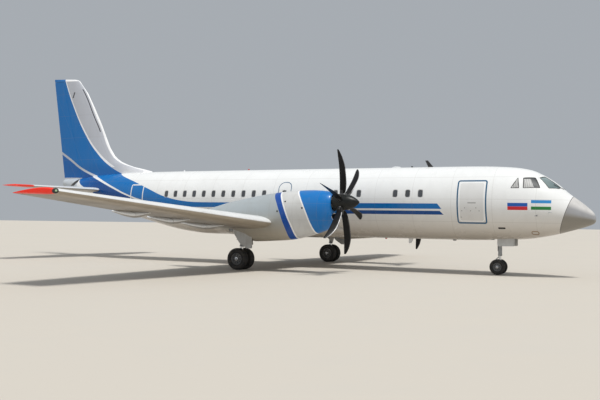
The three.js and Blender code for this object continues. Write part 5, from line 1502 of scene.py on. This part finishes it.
mainGear = {"station": 12.686, "tyre": 0.425, "width": 0.27, "pitch": 0.25, "rim": 0.23, "axle": 0.045,
            "height": 0.42295}
noseGear = {"station": 3.556, "tyre": 0.3, "width": 0.18, "pitch": 0.2, "rim": 0.165, "axle": 0.032, "height": 0.29856}


def tyreProfile(gear):
    rim, outer, width = gear["rim"], gear["tyre"] * 0.9975, gear["width"]
    shoulder = blend(rim, outer, 0.62)
    side = [(-0.36, rim + 0.002), (-0.415, rim + 0.012), (-0.46, blend(rim, outer, 0.25)),
            (-0.492, blend(rim, outer, 0.45)), (-0.498, shoulder),
            (-0.475, blend(rim, outer, 0.78)), (-0.425, blend(rim, outer, 0.885)), (-0.35, blend(rim, outer, 0.955)),
            (-0.27, outer - 0.004)]
    tread = []
    for groove in (-0.19, -0.065, 0.065, 0.19):
        tread += [(groove - 0.022, outer), (groove - 0.014, outer - 0.009), (groove + 0.014, outer - 0.009),
                  (groove + 0.022, outer)]
    return [(share * width, radius) for share, radius in side + tread + [(-share, radius) for share,
                                                                         radius in reversed(side)]]


def aroundAxle(middle, angle, radius):
    return middle + Vector((math.cos(angle), 0, math.sin(angle))) * radius


def buildWheel(name, gear, y, outward, body, holes=9):
    middle = at(gear["station"], y, gear["height"])
    tyre = spun(middle, (0, 1, 0), tyreProfile(gear), 72)
    addPiece(name + "_tyre_skin", [(tyre, "tyre")], body, "tyre_rubber", name + "_tyre", smoothAngle=50)
    rim, half, bore = gear["rim"] - 0.0015, gear["width"] * 0.32, gear["axle"] + 0.001
    flange = gear["width"] * 0.37
    profile = [(-half, bore), (-half, rim * 0.8), (-flange, rim * 0.9), (-flange, rim + 0.0005), (-flange + 0.012, rim),
               (flange - 0.012, rim), (flange, rim + 0.0005), (flange, rim * 0.93), (flange - 0.014, rim * 0.9),
               (half * 0.62, rim * 0.84), (half * 0.5, rim * 0.78), (half * 0.58, rim * 0.5), (half * 0.75, rim * 0.40),
               (half * 1.15, rim * 0.36), (half * 1.2, rim * 0.33), (half * 1.2, bore)]
    way = Vector((0, outward, 0))
    shapes = [(spun(middle, way, profile, 64), "hub")]
    # The hub's holes are near-black discs: painted shade
    hole = [(half * 0.45, 0.001), (half * 0.56, rim * 0.085), (half * 0.58, rim * 0.085)]
    bolt = [(half * 0.4, rim * 0.035), (half * 0.64, rim * 0.035), (half * 0.67, rim * 0.02)]
    for i in range(holes):
        angle = 2 * math.pi * i / holes
        for turn, steps, count, paint in ((0, hole, 20, "duct"), (0.35, bolt, 6, "steel")):
            shapes.append((turned(aroundAxle(middle, angle + turn, rim * 0.66), way, steps, count), paint))
    cap = [(half * 1.1, rim * 0.3), (half * 1.22, rim * 0.28), (half * 1.27, rim * 0.2), (half * 1.28, 0.002)]
    shapes.append((turned(middle, way, cap), "polished"))
    valve = aroundAxle(middle, 0.9, rim * 0.86)
    shapes.append((rod(valve + way * half * 0.5, valve + way * (half * 0.5 + 0.03), 0.006, 10), "polished"))
    addPiece(name + "_wheel", shapes, body, "hub_alloy", name + "_hub", smoothAngle=40)


def brakePack(gear, y, outward, studs=6):
    middle, way = at(gear["station"], y, gear["height"]), Vector((0, outward, 0))
    inner, bore = -gear["width"] * 0.32, gear["axle"] + 0.002
    discs = [(inner - 0.055, bore), (inner - 0.055, gear["rim"] * 0.55), (inner - 0.012, gear["rim"] * 0.6),
             (inner - 0.002, gear["rim"] * 0.6), (inner - 0.002, bore)]
    shapes = [(spun(middle, way, discs, 40), "steel")]
    for i in range(studs):
        spot = aroundAxle(middle, 2 * math.pi * (i + 0.5) / studs, gear["rim"] * 0.42)
        shapes.append((turned(spot, way, [(inner - 0.075, 0.018), (inner - 0.05, 0.02), (inner - 0.01, 0.02)], 14),
                       "gear"))
    return shapes


# Points are (station, out from the engine line, height); outlines are (station, height)
mainLeg = {
    "head": (12.6035, 0, 1.558), "foot": (12.65, 0, 0.9), "pin": (12.606, 1.48), "pinHalf": 0.3395, "pinRadius": 0.055,
    "bearings": 0.3, "brace": [(12.23, 0, 1.5), (12.4, 0, 1.275)], "strut": [(12.41, 0, 1.263), (12.61, 0, 1.01)],
    "elbow": [(12.41, -0.05, 1.265), (12.41, 0.05, 1.265)], "clamp": ((12.52, 12.56), 0.12, (1.16, 1.19)),
    "hoseOut": 0.115, "hose": [(12.5, 1, 1.5), (12.53, 1, 1.3), (12.56, 0.95, 1.05), (12.6, 0.9, 0.93)],
    "axleHalf": 0.36536, "links": [((12.68, 0.52), (12.86, 0.68), 0.024), ((12.86, 0.68), (12.705, 0.85), 0.022)],
    "linkOut": 0.045, "linkPin": [(12.86, -0.06, 0.68), (12.86, 0.06, 0.68)],
    "brakeHose": [(12.72, 0.05, 0.62), (12.78, 0.09, 0.58), (12.77, 0.11, 0.5), (12.72, 0.12, 0.47)],
    "outerDoor": [(13.08, 1.8), (12.06, 1.8), (11.98, 0.85), (12.24, 0.85), (12.56, 1.06)],
    "innerDoor": [(13.08, 1.8), (12.42, 1.8), (12.36, 0.94), (12.56, 1.06)], "doorFaces": (0.345, 0.37),
    "ribStations": (12.44, 12.68), "ribHeights": (1.16, 1.3), "link": ((12.45, 1.2), (12.56, 1.24)),
}


def buildLeg(label, side):
    y, look = engine["y"], mainLeg

    def on(station, out, height):
        return at(station, y + out, height)

    head, foot = on(*look["head"]), on(*look["foot"])
    pin, half = look["pin"], look["pinHalf"]
    length = (foot - head).length
    steps = [(0, 0.088), (0.03, 0.094), (length - 0.12, 0.094), (length - 0.11, 0.088), (length - 0.06, 0.088),
             (length - 0.05, 0.095), (length, 0.095)]
    leg = [(turned(head, (foot - head).normalized(), steps, 40), "gear"),
           (rod(on(pin[0], -half, pin[1]), on(pin[0], half, pin[1]), look["pinRadius"], 28), "gear")]
    for way in (-1, 1):
        leg.append((turned(on(pin[0], way * look["bearings"], pin[1]), (0, 1, 0), [(-0.035, 0.07), (0.035, 0.07)], 28),
                    "steel"))
    for ends, radius, count, endRadius, paint in (("brace", 0.038, 20, 0.034, "gear"),
                                                  ("strut", 0.026, 20, None, "polished"),
                                                  ("elbow", 0.03, 16, None, "steel")):
        leg.append((rod(*[on(*point) for point in look[ends]], radius, count, endRadius), paint))
    for way in (-1, 1):
        line = [on(s, way * look["hoseOut"] * out, z) for s, out, z in look["hose"]]
        leg.append((hose(line, 0.009), "rubber"))
    (front, back), reach, (low, high) = look["clamp"]
    leg.append((brick((noseX - back, y - reach, low), (noseX - front, y + reach, high), 0.005), "steel"))
    addPiece("main_leg_fine_" + label, sided(leg, side), "airframe", "bare_steel", "main_leg_" + label, smoothAngle=38)

    axle = at(mainGear["station"], y, mainGear["height"])
    down, reach, half = (axle - foot).normalized(), (axle - foot).length, Vector((0, look["axleHalf"], 0))
    sleeve = [(reach - 0.115, 0.07), (reach - 0.1, 0.078), (reach - 0.02, 0.082), (reach + 0.05, 0.07),
              (reach + 0.06, 0.05)]
    piston = [(turned(foot, down, [(0.0008, 0.062), (reach - 0.11, 0.062)], 40), "polished"),
              (turned(foot, down, sleeve), "gear"), (rod(axle - half, axle + half, mainGear["axle"], 32), "steel")]
    for (s0, z0), (s1, z1), size in look["links"]:
        for out in (-look["linkOut"], look["linkOut"]):
            piston.append((rod(on(s0, out, z0), on(s1, out * 0.75, z1), size, 14, size * 0.8), "gear"))
    piston.append((rod(*[on(*point) for point in look["linkPin"]], 0.026, 18), "steel"))
    for way in (1, -1):
        piston += brakePack(mainGear, y + way * mainGear["pitch"], way)
        piston.append((hose([on(s, way * out, z) for s, out, z in look["brakeHose"]], 0.008), "rubber"))
    addPiece("main_axle_fine_" + label, sided(piston, side), "airframe", "bare_steel", "main_axle_" + label,
             smoothAngle=38)


def buildLegDoor(label, side, name, way, corner):
    y, look = engine["y"], mainLeg
    near, far = look["doorFaces"]
    low, high = sorted((way * near, way * far))
    door = makeObject("main_gear_door_" + name + "_" + label,
                      [(onSide(plate(roundPolygon(look[name + "Door"], corner), y + low, y + high), side), "doorGrey")])
    carve(door, [(onSide(sectionBody(nacelle, spread(11.5, 14.5, 0.1), 72, 0.002, y), side), "doorGrey")])
    settle(door, "airframe", "grey_paint", "main_door_" + name + "_" + label)
    face = y + way * near
    front, back = look["ribStations"]
    ribs = [(brick((noseX - back, face - 0.012, height), (noseX - front, face + 0.012, height + 0.03), 0.004), "gear")
            for height in look["ribHeights"]]
    (s0, z0), (s1, z1) = look["link"]
    ribs.append((rod(at(s0, face, z0), at(s1, y + 0.1 * way, z1), 0.012, 12), "steel"))
    addPiece("main_gear_door_ribs_" + name + "_" + label, sided(ribs, side), "airframe", "bare_steel")


for label, side in sides.items():
    buildLeg(label, side)
    for name, way, corner in (("outer", 1, 0.06), ("inner", -1, 0.04)):
        buildLegDoor(label, side, name, way, corner)
    for name, way in (("outer", 1), ("inner", -1)):
        buildWheel("main_%s_%s" % (name, label), mainGear, side * (engine["y"] + way * mainGear["pitch"]), side * way,
                   "main_wheels_" + label)

# Nose leg, its lamps and hoses, then the fork, which steers
noseLeg = {
    "station": 3.5, "top": 1.8997, "pinHeight": 1.6, "pinHalf": 0.2895, "brace": [(2.92, 0, 1.8), (3.2, 0, 1.425)],
    "strutFoot": (3.48, 0, 1.05),
    "steps": [(0, 0.07), (0.02, 0.075), (0.72, 0.075), (0.73, 0.068), (0.86, 0.068), (0.87, 0.0745), (1.0997, 0.0745)],
    "lamps": (3.405, 0.07, 1.31), "lamp": [(0, 0.045), (0.05, 0.05), (0.06, 0.047)],
    "lens": [(0.058, 0.044), (0.062, 0.03), (0.064, 0.003)], "hose": [(3.57, 1.7), (3.585, 1.3), (3.58, 0.9)],
    "axleHalf": 0.28224, "links": [((3.53, 0.46), (3.66, 0.58)), ((3.66, 0.58), (3.54, 0.70))],
    "linkPin": (3.66, 0.04, 0.58), "door": [(3.545, 1.7), (2.89, 1.7), (2.89, 1.12), (3.5, 1.1), (3.545, 1.15)],
    "doorFaces": (0.295, 0.315),
}
station, down = noseLeg["station"], (0, 0, -1)
axle, braceEnd = at(noseGear["station"], 0, noseGear["height"]), at(*noseLeg["brace"][1])
legParts = [
    (turned(at(station, 0, noseLeg["top"]), down, noseLeg["steps"], 36), "gear"),
    (rod(at(station, -noseLeg["pinHalf"], noseLeg["pinHeight"]), at(station, noseLeg["pinHalf"], noseLeg["pinHeight"]),
         0.04, 24), "gear"),
    (rod(at(*noseLeg["brace"][0]), braceEnd, 0.03, 18), "gear"),
    (rod(braceEnd, at(*noseLeg["strutFoot"]), 0.02, 18), "polished"),
    (brick((noseX - 3.44, -0.07, 1.28), (noseX - 3.37, 0.07, 1.34), 0.01), "steel"),
]
for way in (-1, 1):
    lampStation, out, height = noseLeg["lamps"]
    lampBack = at(lampStation, way * out, height)
    legParts.append((turned(lampBack, (1, 0, 0), noseLeg["lamp"], 28), "gear"))
    legParts.append((turned(lampBack, (1, 0, 0), noseLeg["lens"], 28), "clearLamp"))
    legParts.append((hose([at(s, way * out * 0.5, z) for s, z in noseLeg["hose"]], 0.008), "rubber"))
addPiece("nose_leg_fine", legParts, "airframe", "bare_steel", "nose_leg", smoothAngle=38)
half = Vector((0, noseLeg["axleHalf"], 0))
forkParts = [
    (turned(at(station, 0, 0.7992), down, [(0, 0.082), (0.06, 0.082), (0.08, 0.06)], 36), "gear"),
    (turned(at(station, 0, 0.76), down, [(0, 0.048), (0.3, 0.048)], 36), "polished"),
    (turned(at(station, 0, 0.47), down, [(0, 0.052), (0.03, 0.056), (0.07, 0.056), (0.09, 0.045)], 30), "gear"),
    (rod(at(station, 0, 0.42), axle, 0.042, 24), "gear"), (rod(axle - half, axle + half, noseGear["axle"], 28),
                                                           "steel"),
]
for (s0, z0), (s1, z1) in noseLeg["links"]:
    for out in (-0.03, 0.03):
        forkParts.append((rod(at(s0, out, z0), at(s1, out, z1), 0.012, 12), "gear"))
pinStation, out, height = noseLeg["linkPin"]
forkParts.append((rod(at(pinStation, -out, height), at(pinStation, out, height), 0.015, 14), "steel"))
addPiece("nose_fork_fine", forkParts, "nose_steering", "bare_steel", "nose_fork", smoothAngle=38)
noseDoor = plate(roundPolygon(noseLeg["door"], 0.04), *noseLeg["doorFaces"])
noseSkinBody = sectionBody(fuselage, spread(2.5, 4.2, 0.1), 96, 0.002)
for label, side in sides.items():
    door = carve(makeObject("nose_gear_door_" + label, [(onSide(noseDoor, side), "doorGrey")]),
                 [(noseSkinBody, "doorGrey")])
    settle(door, "airframe", "grey_paint", "nose_door_" + label)
    buildWheel("nose_" + label, noseGear, side * noseGear["pitch"], side, "nose_wheels")
print("landing gear ready")

# Aerials, domes, beacons, jack pads, probes, wipers, lamps and static wicks. Aerials: (height, from, to, half width)
fittings = {
    "topAerial": [(4.2, 6.19, 6.42, 0.014), (4.45, 6.405, 6.54, 0.009), (4.5, 6.45, 6.56, 0.006)],
    "bellyAerial": [(1.33, 7.0, 7.22, 0.012), (1.12, 7.1, 7.22, 0.006)],
    "longDome": [(4.2, 0.13), (4.235, 0.125), (4.26, 0.10), (4.275, 0.05), (4.278, 0.01)], "longDomeAt": 7.8,
    "longDomeStretch": 1.6,
    "top": [(18.46, 4.215, [(0, 0.05), (0.03, 0.048), (0.05, 0.035), (0.06, 0.01)], "tailplane"),
            (14.9, 4.215, [(0, 0.055), (0.02, 0.055), (0.025, 0.04)], "steel"),
            (14.9, 4.235, [(0, 0.038), (0.03, 0.036), (0.05, 0.022), (0.058, 0.004)], "redLamp")],
    "beacon": (8.2, 1.315, [(0, 0.05), (0.03, 0.045), (0.045, 0.03), (0.05, 0.005)]),
    "noseJack": (5.3, 1.36, [(0, 0.07), (0.08, 0.07), (0.09, 0.06)]),
    "wingJack": ((1.1937, 5.7, 1.62), [(0, 0.07), (0.11, 0.07), (0.12, 0.06)]),
    "probe": [(1.53, 1.0, 2.41), (1.53, 1.085, 2.405), (1.50, 1.10, 2.405), (1.40, 1.10, 2.405)], "probeRadius": 0.012,
    "vane": [(1.94, 1.09, 2.29), (1.94, 1.15, 2.285)],
    "wiper": [(1.13, 0.16, 3.28), (1.2, 0.26, 3.3), (1.34, 0.4, 3.38), (1.45, 0.45, 3.46)], "wiperRadius": 0.008,
    "wiperHeight": 0.012, "tipLamp": (11.945, 14.95, 2.615),
    "tipShell": [(-0.06, 0.07), (0.0, 0.075), (0.05, 0.07), (0.08, 0.055), (0.1, 0.03), (0.104, 0.005)],
    "tipGlass": [(-0.02, 0.03), (0.015, 0.028), (0.022, 0.018), (0.026, 0.004)], "wicks": (5.2, 4.6, 4.0),
    "wickEnds": (-0.01, 0.09),
}


def aerial(rows):
    return loft([[at(a, 0, z), at((a + b) / 2, h, z), at(b, 0, z), at((a + b) / 2, -h, z)] for z, a, b, h in rows])


domeAngles = spread(0, 2 * math.pi, 0.25)[:-1]
longDome = loft([[at(fittings["longDomeAt"] + r * fittings["longDomeStretch"] * math.cos(a), r * math.sin(a), z)
                  for a in domeAngles]
                 for z, r in fittings["longDome"]])
small = [(aerial(fittings["topAerial"]), "rubber"), (longDome, "tailplane")]
small += [(turned(at(s, 0, z), (0, 0, 1), steps, 24), paint) for s, z, steps, paint in fittings["top"]]
beaconStation, beaconHeight, beaconSteps = fittings["beacon"]
small += [(turned(at(beaconStation, 0, beaconHeight), down, beaconSteps, 24), "redLamp"),
          (aerial(fittings["bellyAerial"]), "tailplane")]
jackStation, jackHeight, jackSteps = fittings["noseJack"]
small.append((turned(at(jackStation, 0, jackHeight), down, jackSteps, 24), "steel"))
for side in (1, -1):
    jackPlace, jackSteps = fittings["wingJack"]
    wiper = [ontoSkin(fuselageLevel, at(*point), fittings["wiperHeight"]) for point in fittings["wiper"]]
    lampAt = at(*fittings["tipLamp"])
    shapes = [
        (turned(Vector(jackPlace), down, jackSteps, 24), "steel"),
        (hose([at(*point) for point in fittings["probe"]], fittings["probeRadius"]), "polished"),
        (rod(*[at(*point) for point in fittings["vane"]], 0.03, 18, 0.026), "steel"),
        (brick((noseX - 2.02, 1.135, 2.275), (noseX - 1.93, 1.15, 2.29), 0.002), "polished"),
        (hose(wiper, fittings["wiperRadius"]), "rubber"),
        (turned(lampAt + Vector((-0.06, 0, 0)), (1, 0.3, 0), fittings["tipShell"], 24), "rubber"),
        (turned(lampAt + Vector((0.02, 0.055, 0)), (0.5, 1, 0), fittings["tipGlass"], 20), "redLamp"
         if side > 0 else "greenLamp"),
    ]
    for y in fittings["wicks"]:
        edge = sum(tailplaneAt(y))
        start, end = fittings["wickEnds"]
        shapes.append((rod(at(edge + start, y, tailplane["height"]), at(edge + end, y, tailplane["height"]), 0.003, 6,
                           0.0015), "rubber"))
    small += sided(shapes, side)
addPiece("aerials_and_lamps", small, "airframe", "bare_steel")
print("small fittings ready")

# Floor, soft studio light and the camera at the photograph's angle
studio = {
    "floor": (0.57, 0.525, 0.46, 1), "floorCorners": [(-400, -200, 0), (400, -200, 0), (400, 900, 0), (-400, 900, 0)],
    "world": (0.84, 0.9, 0.97, 1), "worldStrength": 0.46, "sunStrength": 2.9, "fillStrength": 0.3,
}
paints["floor"] = finishOf("studioFloor", studio["floor"], soil=(0.5, 0.49, 0.47, 1), soilShare=0.12, rough=0.8,
                           scale=0.15, grain=0.0)
floor = makeObject("studio_floor", [(([Vector(corner) for corner in studio["floorCorners"]], [(0, 1, 2, 3)]), "floor")])
world = bpy.data.worlds.new("studio")
scene.world = world
world.use_nodes = True
backdrop = world.node_tree.nodes["Background"].inputs
backdrop["Color"].default_value, backdrop["Strength"].default_value = studio["world"], studio["worldStrength"]


def addSun(name, way, strength, softness, tint):
    light = bpy.data.lights.new(name, "SUN")
    light.energy, light.angle, light.color = strength, math.radians(softness), tint
    lamp = bpy.data.objects.new(name, light)
    lamp.rotation_euler = Vector(way).to_track_quat("-Z", "Y").to_euler()
    scene.collection.objects.link(lamp)


addSun("key_light", (-0.32, 0.16, -0.95), studio["sunStrength"], 12, (1.0, 0.985, 0.95))
addSun("fill_light", (0.55, 0.75, -0.35), studio["fillStrength"], 60, (0.93, 0.96, 1.0))

view = {"place": (16.589, -30.435, 1.877), "turn": 0.4686, "pitch": 0.0293, "roll": 0.0175, "lens": 46.5}
turn, pitch, roll = view["turn"], view["pitch"], view["roll"]
ahead = Vector((-math.sin(turn) * math.cos(pitch), math.cos(turn) * math.cos(pitch), math.sin(pitch)))
right = Vector((math.cos(turn), math.sin(turn), 0))
up = right.cross(ahead)
cameraRight, cameraUp = right * math.cos(roll) + up * math.sin(roll), up * math.cos(roll) - right * math.sin(roll)
lens = bpy.data.cameras.new("photo_camera")
lens.lens, lens.sensor_width, lens.clip_end = view["lens"], 36, 2000
camera = bpy.data.objects.new("photo_camera", lens)
scene.collection.objects.link(camera)
matrix = Matrix((cameraRight, cameraUp, -ahead)).transposed().to_4x4()
matrix.translation = Vector(view["place"])
camera.matrix_world = matrix
scene.camera = camera
scene.view_settings.view_transform = "Standard"

print("scene ready")
